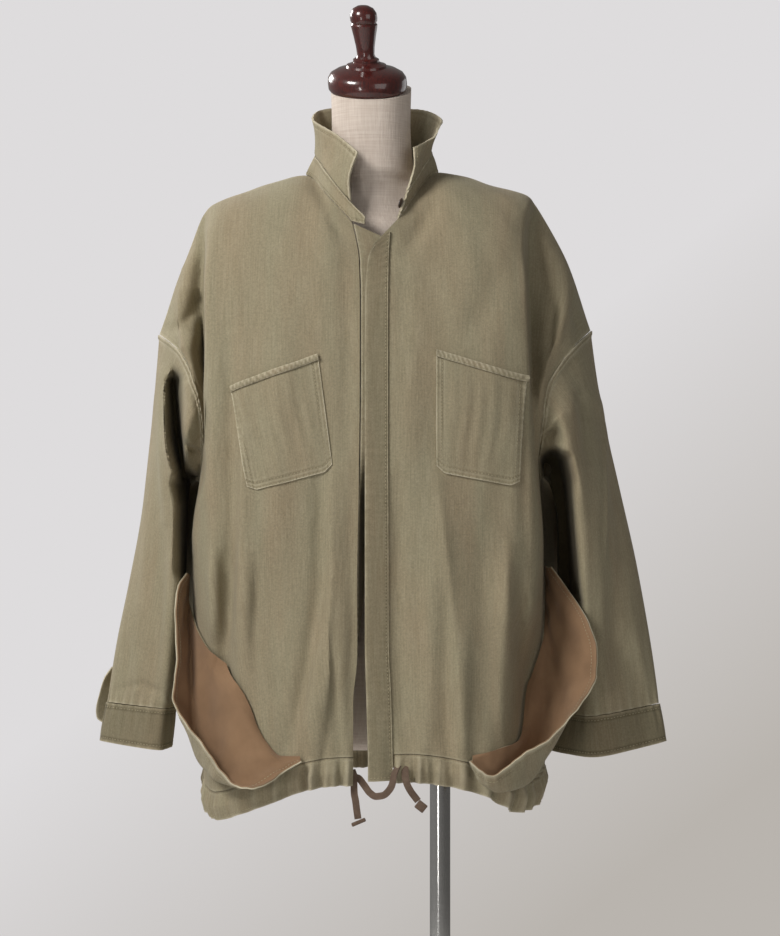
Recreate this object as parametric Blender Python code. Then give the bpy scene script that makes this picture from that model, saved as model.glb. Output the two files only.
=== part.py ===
"""Shirt jacket with a hidden-button front, hung on a limbless dress form on a round stand.

Metres, +Z up, the front faces -Y and the origin is the centre of the base plate's underside.
Cloth is laid out in front elevation: `across` and `down` count GRID squares as they are seen
from the eye point, and `depth` is millimetres behind the form's axis. `place` turns the three
into a point, so every table below reads like a front view with depths.
"""
import math

import bmesh
import bpy
import numpy as np
from mathutils import Matrix, Vector
from mathutils.bvhtree import BVHTree

# Driving sizes, in metres
GRID = 0.00127             # one square of the front elevation, at the form's axis
EYE_FAR, EYE_UP, EYE_SIDE = 3.2, 0.972, 0.0254
AXIS_ACROSS, LEVEL_DOWN = 390.0, 468.0     # the square straight ahead of the eye point
POLE_SIDE = 0.089          # the stand's pole is this far to the left side of the form's axis
POLE_RADIUS = 0.013
FORM_SIDE, FORM_LIFT = .0015, .0018        # the torso's seat on the stand
BASE_RADIUS, BASE_THICK = 0.175, 0.011
CLOTH = 0.0015             # wall of one layer of twill
DOUBLE = 0.0022            # wall of collar, cuffs and placket
LINING = 0.0010
GAP = 0.0003               # between pieces at a seam
LAID = 0.0005              # between a panel and what is sewn on it
CASING_DROP = 27.5         # squares from the casing's seam to the hem
NECK_RISE = 14.0           # squares that the neckline rises across the placket
BAND_WIDTH = 0.035
CUFF_EASE = 0.0012
POUCH_SEAT = 0.0030
POUCH_ROOM = 0.0040        # from a pouch's middle surface to the panel beside it
TAPE_WIDTH, TAPE_THICK = 0.0085, 0.0012
GATHERS = 118              # waves of the hem casing

MIDDLE = 370.0             # the form's axis, in squares across
UNDERARM = 0.45            # share of a panel's length above the underarm
# How far each guide's middle hangs below an even spacing, above the underarm
SAG = {"edge": 0, "throat": .1, "neck": .3, "chest": .5, "corner": .7, "valley": .75,
       "wing": .5, "seam": 0}
ROWS_ABOVE, ROWS_BELOW = 10, 8
COLUMNS = (0, .055, .11, .165, .22, .28, .34, .40, .47, .54, .60, .63, .66, .72, .785, .85,
           .925, 1)

# Guide lines of the fronts, from the shoulder or neck to the casing seam.
# name: (place across the panel, down at the underarm level, rows of (down, across, depth))
FRONT_RIGHT = {
    "edge": (0.0, 463, ((222, 352, -90), (235, 355, -97), (260, 359, -108), (300, 360, -122),
                        (380, 360, -140), (480, 359, -150), (600, 357, -152),
                        (655, 357, -155), (704, 353, -160), (757, 353, -166))),
    "throat": (0.11, 463, ((200, 331, -66), (215, 330, -88), (250, 330, -108),
                           (300, 329, -124), (380, 329, -140), (480, 328, -149),
                           (600, 327, -152), (700, 327, -160), (758, 330, -167))),
    "neck": (0.22, 463, ((176, 306, 5), (183, 305, -27), (195, 304, -55), (215, 302, -78),
                         (250, 300, -103), (300, 299, -122), (380, 298, -138),
                         (480, 297, -147), (600, 296, -150), (700, 300, -158),
                         (763, 303, -165))),
    "chest": (0.40, 463, ((187, 262, 5), (193, 261, -26), (205, 260, -52), (230, 258, -80),
                          (270, 256, -103), (330, 255, -122), (400, 254, -133),
                          (480, 253, -138), (600, 254, -142), (700, 262, -152),
                          (776, 268, -158))),
    "corner": (0.60, 463, ((207, 211, 5), (214, 210, -25), (230, 209, -52),
                           (260, 208.5, -76), (300, 208, -95), (360, 207.5, -106),
                           (420, 206.5, -110), (463, 206.5, -112), (548, 209, -115),
                           (613, 213, -116), (660, 219, -106), (720, 224, -98),
                           (792, 217, -116))),
    "valley": (0.72, 468, ((216, 201, 5), (225, 200, -12), (245, 199, -28),
                           (280, 199, -40), (320, 199.5, -52), (345, 200, -62),
                           (371, 202, -78), (395, 204, -92), (420, 205.5, -96),
                           (445, 205.5, -92), (468, 205, -82), (500, 200, -80),
                           (548, 197, -78), (613, 198, -74), (700, 204, -66),
                           (787, 208, -74))),
    "wing": (0.85, 474, ((277, 180, 5), (290, 178.5, -14), (312, 178, -36), (335, 182, -54),
                         (360, 190, -69), (385, 197.5, -80), (402, 202, -87),
                         (425, 204, -86), (449, 204, -74), (474, 201, -42),
                         (548, 193, -40), (600, 193.5, -38), (700, 200, -30),
                         (780, 205, -36))),
    "seam": (1.0, 479, ((335, 160, 5), (342, 170, -28), (351, 180, -50), (359, 185, -60),
                        (371, 191, -70), (389, 196, -79), (412, 201, -83),
                        (432, 203.5, -76), (455, 203, -55), (479, 200, -8),
                        (540, 199, 0), (613, 200, 4), (700, 203, 5), (768, 206, 5))),
}
FRONT_LEFT = {
    "edge": (0.0, 463, ((244, 373.5, -109), (258, 367.5, -115), (296, 365, -126),
                        (400, 364.5, -148), (520, 364.5, -156), (640, 364.5, -158),
                        (700, 366, -162), (756, 367.5, -168))),
    "throat": (0.11, 463, ((219.5, 397, -88), (236, 399, -98), (262, 403, -114),
                           (300, 406, -126), (380, 407, -145), (480, 406, -153),
                           (600, 406, -155), (700, 408, -160), (754, 410, -166))),
    "neck": (0.22, 463, ((173, 439, 5), (182, 440, -27), (195, 441, -55), (215, 442, -78),
                         (250, 444, -103), (300, 446, -122), (380, 446, -140),
                         (480, 444, -149), (600, 444, -152), (700, 446, -158),
                         (758, 448, -165))),
    "chest": (0.40, 463, ((185, 488, 5), (191, 489, -26), (205, 490, -54), (230, 491, -82),
                          (270, 492, -105), (330, 491, -124), (400, 490, -136),
                          (480, 489, -142), (600, 489, -146), (700, 488, -154),
                          (768, 487, -160))),
    "corner": (0.60, 463, ((197, 528, 5), (204, 527, -22), (225, 523, -50),
                           (253, 520, -76), (301, 522, -97), (376, 525, -109),
                           (433, 527, -113), (463, 530, -115), (560, 534, -118),
                           (600, 533, -118), (640, 516, -122), (690, 511, -126),
                           (740, 513, -128), (784, 519, -128))),
    "valley": (0.72, 468, ((206, 536, 5), (216, 535, -10), (243, 533, -28),
                           (290, 534, -44), (326, 536, -56), (355, 536, -72),
                           (386, 534, -93), (415, 533, -98), (447, 533.5, -92),
                           (468, 535, -84), (500, 538, -80), (548, 541, -78),
                           (610, 539, -72), (667, 527, -68), (717, 525, -68),
                           (780, 533, -80))),
    "wing": (0.85, 474, ((263, 567, 5), (275, 568, -12), (300, 569, -34), (325, 562, -52),
                         (348, 553, -66), (372, 546, -78), (395, 541, -86),
                         (425, 539, -85), (449, 537, -72), (474, 538, -42),
                         (548, 543, -40), (600, 543, -38), (700, 537, -30),
                         (772, 541, -38))),
    "seam": (1.0, 479, ((331, 590, 5), (342, 578, -30), (352, 569, -50), (362, 561, -61),
                        (375, 552, -71), (384, 548, -76), (402, 545, -81),
                        (417, 543, -81), (430, 541, -77), (448, 539, -58),
                        (479, 537, -8), (540, 541, 0), (613, 542, 4), (700, 541, 5),
                        (764, 544, 5))),
}
# Centre back: down, depth
CENTRE_BACK = ((176, 60), (186, 76), (200, 90), (240, 106), (300, 120), (380, 126),
               (480, 129), (600, 137), (700, 149), (741, 153))
BACK_DEPTH = 0.88          # depth of the back beside the front's
BACK_FLARE = {"corner": 22, "valley": 18}   # squares that the back's sides stand out
# Soft folds of the fronts: side, across and down at the top, the same at the foot,
# half width in squares, height in mm towards the front (negative is a trough)
FOLDS = (
    ("right", 246, 540, 240, 690, 9, 7), ("right", 228, 520, 226, 690, 9, -10),
    ("right", 213, 540, 215, 625, 6, 6), ("right", 345, 560, 340, 765, 8, 4),
    ("right", 322, 640, 316, 765, 8, 5), ("right", 284, 300, 276, 560, 16, 4),
    ("left", 507, 540, 503, 720, 8, 6), ("left", 521, 560, 519, 660, 7, -8),
    ("left", 433, 520, 428, 755, 10, 5), ("left", 466, 600, 462, 755, 9, 5),
    ("left", 449, 560, 446, 755, 8, -4), ("left", 412, 300, 408, 480, 12, 3),
)
# Collar stations from the right front round the back to the left front: where the stand's
# foot meets the neckline (panel, place across it), then the stand's seam and the fall's top
# edge, each (across, down, depth), and the bow of the fall
COLLAR = (
    (None, 0, (365, 216, -96), None, 0),
    ("right", 0, (350, 201, -82), (358, 152, -86), -4),
    ("right", .11, (331, 178, -60), (337, 134.5, -54), 1),
    ("right", .22, (316, 155, -2), (312, 118, -6), 2),
    ("back", -.11, (327, 150, 40), (321, 110, 46), 1),
    ("back", 0, (370, 150, 62), (370, 107.5, 73), 0),
    ("back", .11, (415, 149, 40), (424, 110.5, 48), -1),
    ("left", .22, (431, 152, -1), (442, 121, 4), -2),
    ("left", .165, (419, 173, -50), (430, 139, -36), -1),
    ("left", .13, (408, 191, -70), (414, 147, -58), 3),
    ("left", .112, (401.5, 209, -84), None, 0),
)
STAND_END = (364, 225, -96)
# Sleeve rings below the armhole: along the sleeve, then the outer, front, inner and back
# corners of the ring, each (across, down, depth)
SLEEVE_RIGHT = (
    (.13, (155.5, 388, 0), (178, 402, -93), (193, 481, -3), (178, 412, 84)),
    (.26, (150, 440, -3), (172, 448, -92), (190, 484, 20), (170, 455, 88)),
    (.42, (144, 505, -8), (177, 508, -84), (186, 520, 34), (162, 510, 86)),
    (.60, (131, 577, -12), (175.5, 580, -80), (185, 590, 26), (155, 583, 76)),
    (.80, (118, 645, -18), (170, 650, -72), (179, 655, 14), (140, 650, 60)),
    (1.0, (109, 702, -22), (162, 708, -60), (172, 706, -5), (127, 702, 44)),
)
SLEEVE_LEFT = (
    (.13, (597, 382, 0), (572, 400, -93), (545, 477, -3), (572, 412, 84)),
    (.26, (606, 432, -4), (571, 452, -92), (549.5, 482, 18), (582, 455, 88)),
    (.42, (618, 485, -8), (579.5, 505, -86), (557, 520, 50), (592, 500, 88)),
    (.60, (636, 565, -14), (584, 572, -82), (559, 580, 48), (602, 575, 80)),
    (.80, (649, 640, -22), (588, 648, -72), (566, 650, 28), (612, 645, 58)),
    (1.0, (658, 703, -34), (594, 716, -52), (566, 712, -6), (624, 708, 14)),
)
CUFF_FOOT = {
    "right": ((103, 741, -24), (157, 750, -60), (170, 744, -5), (122, 741, 44)),
    "left": ((665, 741, -36), (598, 757, -54), (553, 750, -4), (622, 748, 16)),
}
# Side pouches from the front hem round to the side seam: the line on the body, the sagging
# floor and the free edge, each (across, down, depth)
POUCH_RIGHT = (
    ((300, 757, -170), (301, 761, -178), (301, 761, -184)),
    ((281, 757, -168), (284, 768, -184), (284, 771, -192)),
    ((261, 737, -160), (263, 769, -180), (268, 783, -198)),
    ((245, 706, -153), (244, 768, -168), (252, 788, -200)),
    ((234, 687, -145), (228, 767, -152), (237, 786, -193)),
    ((222, 672, -126), (214, 766, -130), (221, 771, -180)),
    ((211, 654, -108), (202, 752, -104), (203, 745, -158)),
    ((199, 632, -86), (193, 724, -84), (184, 719, -140)),
    ((192.5, 616, -58), (187, 690, -76), (173, 696, -128)),
    ((190, 606, -48), (183, 652, -76), (177, 658, -118)),
    ((188.5, 596, -43), (181.5, 621, -74), (175.5, 614, -106)),
    ((188.5, 584, -40), (183.5, 594, -66), (178, 588, -92)),
    ((189.5, 574, -38), (188, 575, -50), (187, 573, -62)),
)
POUCH_LEFT = (
    ((473, 757, -170), (471, 763, -177), (470, 761, -184)),
    ((489, 752, -164), (482, 779, -176), (480, 770, -192)),
    ((504, 747, -154), (497, 790, -172), (492, 776, -198)),
    ((519, 742, -134), (513, 789, -160), (508, 766, -194)),
    ((527, 726, -104), (530, 778, -138), (526, 752, -184)),
    ((532, 700, -80), (548, 750, -112), (545, 742, -168)),
    ((537, 670, -62), (557, 718, -96), (567, 720, -150)),
    ((541, 645, -48), (561, 690, -84), (584, 699, -136)),
    ((544, 625, -36), (562, 665, -74), (596, 676, -124)),
    ((546, 606, -30), (561, 638, -64), (597, 652, -114)),
    ((546, 590, -28), (558, 612, -56), (588, 622, -100)),
    ((546, 577, -28), (553, 587, -48), (568, 590, -68)),
    ((546, 566, -34), (548, 568, -42), (551, 567, -50)),
)
# Chest pockets: corners top outer, top inner, foot inner, foot outer (across, down)
CHEST_POCKET = {
    "right": ((229, 387), (318, 355), (333, 470), (250, 492)),
    "left": ((523, 377), (436, 351), (436, 472), (518, 487)),
}
# Turn of the button band about its seam: down, degrees from lying flat
BAND_TURN = ((222, 4), (440, 8), (505, 76), (600, 80), (650, 92), (700, 118), (757, 125))
# Sections of the dress form: height, half width, front, back, forward tilt in degrees and how
# far the throat stands before the shoulders
FORM = (
    (.622, .148, -.094, .100, 0, 0), (.632, .158, -.104, .110, 0, 0),
    (.68, .168, -.112, .122, 0, 0), (.74, .170, -.113, .124, 0, 0),
    (.83, .150, -.100, .105, 0, 0), (.93, .124, -.090, .088, 0, 0),
    (1.02, .138, -.103, .094, 0, 0), (1.09, .155, -.112, .100, 0, 0),
    (1.16, .168, -.098, .098, 0, 0), (1.21, .180, -.078, .086, 0, .006),
    (1.25, .188, -.058, .070, 0, .012), (1.277, .191, -.042, .054, 0, .018),
    (1.296, .184, -.031, .043, 0, .022), (1.308, .163, -.027, .038, 0, .024),
    (1.317, .134, -.023, .036, 0, .028), (1.325, .101, -.019, .035, 0, .033),
    (1.333, .072, -.017, .036, 1, .037), (1.345, .057, -.034, .038, 3, .022),
    (1.366, .0525, -.052, .040, 8, .004), (1.402, .0505, -.060, .038, 15, 0),
    (1.447, .0515, -.064, .036, 21, 0),
)
# The wooden cap and its knob: radius, height above the neck's rim, along the tilted axis
CAP = ((0.0, 0), (.0475, 0), (.0496, .003), (.0500, .010), (.0494, .0170), (.0460, .0225),
       (.0380, .0272), (.0262, .0305), (.0250, .0332), (.0182, .0355), (.0164, .0375),
       (.0164, .0402), (.0126, .0425), (.0110, .0465), (.0118, .0560), (.0140, .0690),
       (.0162, .0800), (.0168, .0840), (.0152, .0862), (.0168, .0888), (.0172, .0930),
       (.0164, .0985), (.0130, .1040), (.0070, .1073), (0.0, .1082))

NECK_BUTTON = (400.7, 203, -80)
# The drawstring's three lengths: (across, down, depth, roll of the tape in degrees)
TAPES = {
    "left": ((352, 770, -161, 0), (354, 777, -161, 0), (354, 785, -163, 0),
             (354.2, 793, -165, 8), (355.6, 801, -167, 10), (356.6, 809, -169, 6),
             (358, 819, -170, 4)),
    "middle": ((352, 777, -159.3, 0), (358, 778, -159.3, 0), (364, 785, -161, 8),
               (370, 793, -166, 22), (376, 796.5, -171, 20), (383, 795.5, -175, 10),
               (388.5, 791, -177.5, 10), (392, 785, -179, 20), (393.8, 776, -178, 35),
               (396, 770, -173.5, 45), (398.2, 766, -170, 50)),
    "right": ((404.5, 765, -167.3, 0), (405, 770, -170.5, 0), (405.3, 777, -175, 0),
              (407, 784, -180, 0), (410.5, 791, -179.5, 0), (414.5, 796.5, -177, 0),
              (418, 801, -176, 0)),
}
# Folded ends of the two free tapes: side, middle (across, down, depth), width, height, turn
TAPE_ENDS = (("left", (358.6, 822.3, -170), .0180, .0046, -23),
             ("right", (421.0, 806.5, -176), .0125, .0110, 38))
# The lap of the right cuff that stands out behind: down, free edge across
CUFF_LAP = ((667, 112), (678, 104.5), (692, 100), (711, 96), (718, 97), (723, 104))

CAP_SHIFT, CAP_LEAN = .0040, .055      # the cap sits a little to the right and leans there

# Colours as linear values
KHAKI = (0.245, 0.212, 0.145)
BROWN = (0.200, 0.128, 0.078)
TAPE = (0.110, 0.080, 0.056)
LINEN = (0.560, 0.510, 0.465)
MAHOGANY = (0.030, 0.006, 0.007)
CHROME = (0.62, 0.61, 0.60)
HORN = (0.030, 0.020, 0.014)


def smooth(knots, values, at):
    """Monotone cubic through values, one per knot, read at `at`. Values may have a second
    axis as long as `at`, and each reading then uses its own column of values."""
    knots = np.asarray(knots, float)
    values = np.asarray(values, float)
    at = np.clip(np.asarray(at, float), knots[0], knots[-1])
    steps = np.diff(knots)
    lead = (-1,) + (1,) * (values.ndim - 1)
    rise = np.diff(values, axis=0) / steps.reshape(lead)
    slope = np.empty_like(values)
    slope[0], slope[-1] = rise[0], rise[-1]
    a, b = steps[1:].reshape(lead), steps[:-1].reshape(lead)
    before, after = rise[:-1], rise[1:]
    same = before * after > 0
    safe_before, safe_after = np.where(same, before, 1), np.where(same, after, 1)
    mean = 3 * (a + b) / ((2 * a + b) / safe_before + (a + 2 * b) / safe_after)
    slope[1:-1] = np.where(same, mean, 0)
    i = np.clip(np.searchsorted(knots, at, side="right") - 1, 0, len(knots) - 2)
    h = steps[i]
    t = (at - knots[i]) / h
    pick = (i, np.arange(len(at))) if values.ndim > 2 or (
        values.ndim == 2 and values.shape[1] == len(at) and at.ndim) else (i,)
    after_pick = (i + 1,) + pick[1:]
    if values.ndim > len(pick):
        t, h = t[:, None], h[:, None]
    t2, t3 = t * t, t * t * t
    return ((2 * t3 - 3 * t2 + 1) * values[pick] + (t3 - 2 * t2 + t) * h * slope[pick]
            + (3 * t2 - 2 * t3) * values[after_pick] + (t3 - t2) * h * slope[after_pick])


def curve(rows, at):
    """Reads rows of (place, value, value ...) as smooth curves of place."""
    rows = np.asarray(rows, float)
    return np.stack([smooth(rows[:, 0], rows[:, k], at) for k in range(1, rows.shape[1])], -1)


def place(elevation):
    """Points of the front elevation (across, down, depth) as metres."""
    a = np.asarray(elevation, float)
    y = a[..., 2] / 1000
    size = GRID * (1 + y / EYE_FAR)
    return np.stack([EYE_SIDE - POLE_SIDE + (a[..., 0] - AXIS_ACROSS) * size, y,
                     EYE_UP - (a[..., 1] - LEVEL_DOWN) * size], -1)


def fade(t):
    t = np.clip(t, 0, 1)
    return t * t * (3 - 2 * t)


def unit(v):
    return v / np.maximum(np.linalg.norm(v, axis=-1, keepdims=True), 1e-12)


def read_guides(guides, v):
    """Elevation of every guide line at v, 0 at the top, UNDERARM at the underarm, 1 below."""
    lines = []
    t = np.clip(v / UNDERARM, 0, 1)
    for name, (_, level, rows) in guides.items():
        top, foot = rows[0][0], rows[-1][0]
        sunk = t + SAG[name] * t * (1 - t)
        down = np.where(v < UNDERARM, top + (level - top) * sunk,
                        level + (foot - level) * (v - UNDERARM) / (1 - UNDERARM))
        across_depth = curve(rows, down)
        lines.append(np.stack([across_depth[:, 0], down, across_depth[:, 1]], -1))
    return np.array(lines)


def across_guides(knots, lines, u):
    return np.stack([smooth(knots, lines[:, :, k], u) for k in range(3)], -1)


def fold_lift(side, elevation):
    """Millimetres that the soft folds lift each point of a front."""
    lift = np.zeros(len(elevation))
    for fold_side, a0, d0, a1, d1, half, height in FOLDS:
        if fold_side == side:
            t = (elevation[:, 1] - d0) / (d1 - d0)
            off = (elevation[:, 0] - (a0 + (a1 - a0) * t)) / half
            run = fade(t * 3 + .6) * fade((1 - t) * 3 + .6)
            lift += height * np.exp(-off * off) * run
    return lift


def front(side, u, v):
    """Elevation of a front at u, 0 at its edge and 1 at the seam, and v from top to foot."""
    guides = FRONT_RIGHT if side == "right" else FRONT_LEFT
    knots = [g[0] for g in guides.values()]
    at = across_guides(knots, read_guides(guides, v), u)
    inside = fade(v / .12) * fade((1 - u) / .2)
    at[:, 2] -= fold_lift(side, at) * inside
    return at


def back(w, v):
    """Elevation of the back at w, -1 at the right seam, 0 at the centre, 1 at the left."""
    lines, knots = [], []
    foot = np.asarray(CENTRE_BACK[-1][0], float)
    for sign, guides in ((-1, FRONT_RIGHT), (1, FRONT_LEFT)):
        names = [n for n in guides if n not in ("edge", "throat")]
        read = read_guides({n: guides[n] for n in names}, v)
        seam_depth = read[-1][:, 2]
        plane = np.where(v < UNDERARM, 5 - 13 * fade(v / UNDERARM), seam_depth)
        for name, line in zip(names, read):
            line = line.copy()
            line[:, 2] = plane + BACK_DEPTH * (plane - line[:, 2])
            level, rows = guides[name][1:]
            seam_foot = guides["seam"][2][-1][0]
            out = (1 - guides[name][0]) / .78
            target = seam_foot + (foot - seam_foot) * out
            below = v > UNDERARM
            stretch = (target - level) / (rows[-1][0] - level)
            line[:, 1] = np.where(below, level + (line[:, 1] - level) * stretch, line[:, 1])
            flare = BACK_FLARE.get(name, 0) * fade((v - .43) / .08) * fade((1 - v) / .35)
            line[:, 0] += sign * flare
            lines.append((sign * guides[name][0], line))
    top = CENTRE_BACK[0][0]
    t = np.clip(v / UNDERARM, 0, 1)
    down = np.where(v < UNDERARM, top + (463 - top) * (t + .4 * t * (1 - t)),
                    463 + (foot - 463) * (v - UNDERARM) / (1 - UNDERARM))
    centre = np.stack([np.full_like(down, MIDDLE), down, curve(CENTRE_BACK, down)[:, 0]], -1)
    lines.append((0.0, centre))
    lines.sort(key=lambda item: item[0])
    knots = [k for k, _ in lines]
    net = np.array([line for _, line in lines])
    at = across_guides(knots, net, w)
    # the shoulder line is the fronts' own
    high = (v < UNDERARM) & (np.abs(w) >= .22)
    if high.any():
        raw = across_guides(knots, net_at_top(net, knots, w, v), w)
        for side, sign in (("right", -1), ("left", 1)):
            mine = high & (np.sign(w) == sign)
            if mine.any():
                line = front(side, np.abs(w[mine]), np.zeros(mine.sum()))
                at[mine] += (line - raw[mine]) * ((1 - v[mine] / UNDERARM) ** 2)[:, None]
    return at


def net_at_top(net, knots, w, v):
    """The back's guide lines all read at the top edge."""
    top = []
    for sign, guides in ((-1, FRONT_RIGHT), (1, FRONT_LEFT)):
        for name, (u, _, rows) in guides.items():
            if name not in ("edge", "throat"):
                top.append((sign * u, (rows[0][1], rows[0][0], 5.0)))
    top.append((0.0, (MIDDLE, CENTRE_BACK[0][0], CENTRE_BACK[0][1])))
    top.sort(key=lambda item: item[0])
    return np.repeat(np.array([p for _, p in top])[:, None, :], len(w), 1)


def grid_of(function, us, vs):
    """The function's elevation on a grid, as (len(us), len(vs), 3)."""
    u, v = np.meshgrid(us, vs, indexing="ij")
    return function(u.ravel(), v.ravel()).reshape(len(us), len(vs), 3)


def normals_of(points, wrap=False):
    """Outward normals of a grid whose u runs left to right and v top to foot, seen from
    outside."""
    if wrap:
        du = np.roll(points, -1, 0) - np.roll(points, 1, 0)
    else:
        du = np.gradient(points, axis=0)
    dv = np.gradient(points, axis=1)
    return unit(np.cross(dv, du))


def pulled(points, gap=GAP):
    """A grid drawn in at its four edges, to leave the seam gap."""
    p = points.copy()
    half = gap * .75
    for edge, inner in ((0, 1), (-1, -2)):
        p[edge] += unit(points[inner] - points[edge]) * half
        p[:, edge] += unit(points[:, inner] - points[:, edge]) * half
    return p


def shell(points, normals, wall, wrap=False, outside=.5):
    """Vertices and faces of a closed wall about a grid of points."""
    outer = points + normals * wall * outside
    inner = points - normals * wall * (1 - outside)
    nu, nv = points.shape[:2]
    verts = np.concatenate([outer.reshape(-1, 3), inner.reshape(-1, 3)])
    half = nu * nv
    faces = []
    spans = range(nu if wrap else nu - 1)
    for i in spans:
        j = (i + 1) % nu
        for k in range(nv - 1):
            a, b, c, d = i * nv + k, j * nv + k, j * nv + k + 1, i * nv + k + 1
            faces.append((a, d, c, b))
            faces.append((half + a, half + b, half + c, half + d))
        for k in (0, nv - 1):
            a, b = i * nv + k, j * nv + k
            rim = (a, b, half + b, half + a)
            faces.append(rim if k == 0 else rim[::-1])
    if not wrap:
        for k in range(nv - 1):
            for i in (0, nu - 1):
                a, b = i * nv + k, i * nv + k + 1
                rim = (b, a, half + a, half + b)
                faces.append(rim if i == 0 else rim[::-1])
    return verts, faces


def add_mesh(name, verts, faces, material, flat=False):
    mesh = bpy.data.meshes.new(name)
    mesh.from_pydata([tuple(map(float, v)) for v in verts], [], faces)
    bm = bmesh.new()
    bm.from_mesh(mesh)
    bmesh.ops.recalc_face_normals(bm, faces=bm.faces)
    bm.to_mesh(mesh)
    bm.free()
    mesh.polygons.foreach_set("use_smooth", [not flat] * len(mesh.polygons))
    mesh.materials.append(material)
    obj = bpy.data.objects.new(name, mesh)
    bpy.data.collections["shirt_jacket"].objects.link(obj)
    return obj


def add_shell(name, points, material, wall=CLOTH, normals=None, wrap=False, outside=.5):
    normals = normals_of(points, wrap) if normals is None else normals
    return add_mesh(name, *shell(points, normals, wall, wrap, outside), material)


def material(name, colour, roughness, metallic=0.0):
    made = bpy.data.materials.new(name)
    made.use_nodes = True
    shader = made.node_tree.nodes["Principled BSDF"]
    shader.inputs["Base Color"].default_value = (*colour, 1)
    shader.inputs["Roughness"].default_value = roughness
    shader.inputs["Metallic"].default_value = metallic
    return made


def body_levels():
    above = np.linspace(0, UNDERARM, ROWS_ABOVE + 1)
    below = np.linspace(UNDERARM, 1, ROWS_BELOW + 1)[1:]
    return np.concatenate([above ** 1.15 / UNDERARM ** .15, below])


def back_columns():
    side = [u for u in COLUMNS if u >= .22]
    return np.array([-u for u in reversed(side)] + [-.11, 0, .11] + side)


def body_grids():
    """Placed grids of the two fronts and the back, with normals shared along their seams."""
    levels = body_levels()
    grids = {
        "right": place(grid_of(lambda u, v: front("right", u, v), COLUMNS, levels)),
        "left": place(grid_of(lambda u, v: front("left", u, v), COLUMNS, levels)),
        "back": place(grid_of(back, back_columns(), levels)),
    }
    normals = {"right": -normals_of(grids["right"]), "left": normals_of(grids["left"]),
               "back": -normals_of(grids["back"])}
    first = COLUMNS.index(.22)
    count = len(COLUMNS) - first
    for side, rows in (("right", slice(0, count)), ("left", slice(-count, None))):
        end = 0 if side == "right" else -1
        shared = unit(normals[side][-1] + normals["back"][end])
        normals[side][-1] = shared
        normals["back"][end] = shared
        top = normals["back"][rows, 0]
        top = top[::-1] if side == "right" else top
        joined = unit(normals[side][first:, 0] + top)
        normals[side][first:, 0] = joined
        normals["back"][rows, 0] = joined[::-1] if side == "right" else joined
    return grids, normals


def armhole(side, grids):
    """The armhole's points from the shoulder down the front and up the back."""
    row = slice(0, ROWS_ABOVE + 1)
    ahead = grids[side][-1, row]
    behind = grids["back"][0 if side == "right" else -1, row]
    return np.concatenate([ahead, behind[::-1][1:-1]])


def ring_of(corners, count):
    """A rounded ring through four corners, starting at the outer one."""
    corners = np.asarray(corners, float)
    middle = corners.mean(0)
    knots = []
    for k in range(4):
        here, after = corners[k], corners[(k + 1) % 4]
        knots.append(here)
        between = (here + after) / 2
        knots.append(between + (between - middle) * .16)
    knots = np.array(knots)
    t = np.arange(count) * 8 / count
    i = t.astype(int)
    f = (t - i)[:, None]
    p = [knots[(i + k) % 8] for k in (-1, 0, 1, 2)]
    m1, m2 = (p[2] - p[0]) / 2, (p[3] - p[1]) / 2
    return ((2 * f ** 3 - 3 * f ** 2 + 1) * p[1] + (f ** 3 - 2 * f ** 2 + f) * m1
            + (3 * f ** 2 - 2 * f ** 3) * p[2] + (f ** 3 - f ** 2) * m2)


def sleeve_grid(side, hole, lengths):
    """Placed grid of a sleeve from its armhole, read at `lengths` along it."""
    rings = SLEEVE_RIGHT if side == "right" else SLEEVE_LEFT
    net = [hole] + [place(ring_of(corners, len(hole))) for _, *corners in rings]
    net = np.array(net)
    knots = [0.0] + [r[0] for r in rings]
    flat = net.reshape(len(net), -1)
    out = np.stack([smooth(knots, flat[:, k], lengths) for k in range(flat.shape[1])], -1)
    return out.reshape(len(lengths), len(hole), 3).transpose(1, 0, 2)


def find_on(panel, across, down, start=(.3, .4)):
    """The u and v where a panel's elevation shows at (across, down), by Newton steps."""
    u = np.full(len(across), float(start[0]))
    v = np.full(len(across), float(start[1]))
    step = 1e-3
    for _ in range(25):
        here = panel(u, v)
        du = (panel(u + step, v) - here) / step
        dv = (panel(u, v + step) - here) / step
        ex, ey = across - here[:, 0], down - here[:, 1]
        det = du[:, 0] * dv[:, 1] - dv[:, 0] * du[:, 1]
        det = np.where(np.abs(det) < 1e-6, 1e-6, det)
        u = np.clip(u + .8 * (ex * dv[:, 1] - ey * dv[:, 0]) / det, 0.001, .995)
        v = np.clip(v + .8 * (ey * du[:, 0] - ex * du[:, 1]) / det, 0.001, .995)
    return u, v


def lay_on(side, across, down):
    """Placed points and outward normals on a front where it shows at across and down."""
    def panel(u, v):
        return front(side, u, v)
    shape = across.shape
    u, v = find_on(panel, across.ravel(), down.ravel())
    step = .006
    here = place(panel(u, v))
    du = place(panel(np.minimum(u + step, .999), v)) - place(panel(np.maximum(u - step, 0), v))
    dv = place(panel(u, np.minimum(v + step, .999))) - place(panel(u, np.maximum(v - step, 0)))
    sign = 1 if side == "right" else -1
    normal = unit(np.cross(du, dv)) * sign
    normal = np.where(normal[:, 1:2] > 0, -normal, normal)
    return here.reshape(*shape, 3), normal.reshape(*shape, 3)


def surface_of(*grids):
    """A search tree over placed grids, to lay other pieces on them."""
    verts, faces = [], []
    for grid in grids:
        nu, nv = grid.shape[:2]
        base = len(verts)
        verts += [Vector(p) for p in grid.reshape(-1, 3)]
        faces += [(base + i * nv + k, base + (i + 1) * nv + k, base + (i + 1) * nv + k + 1,
                   base + i * nv + k + 1) for i in range(nu - 1) for k in range(nv - 1)]
    return BVHTree.FromPolygons(verts, faces)


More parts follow.
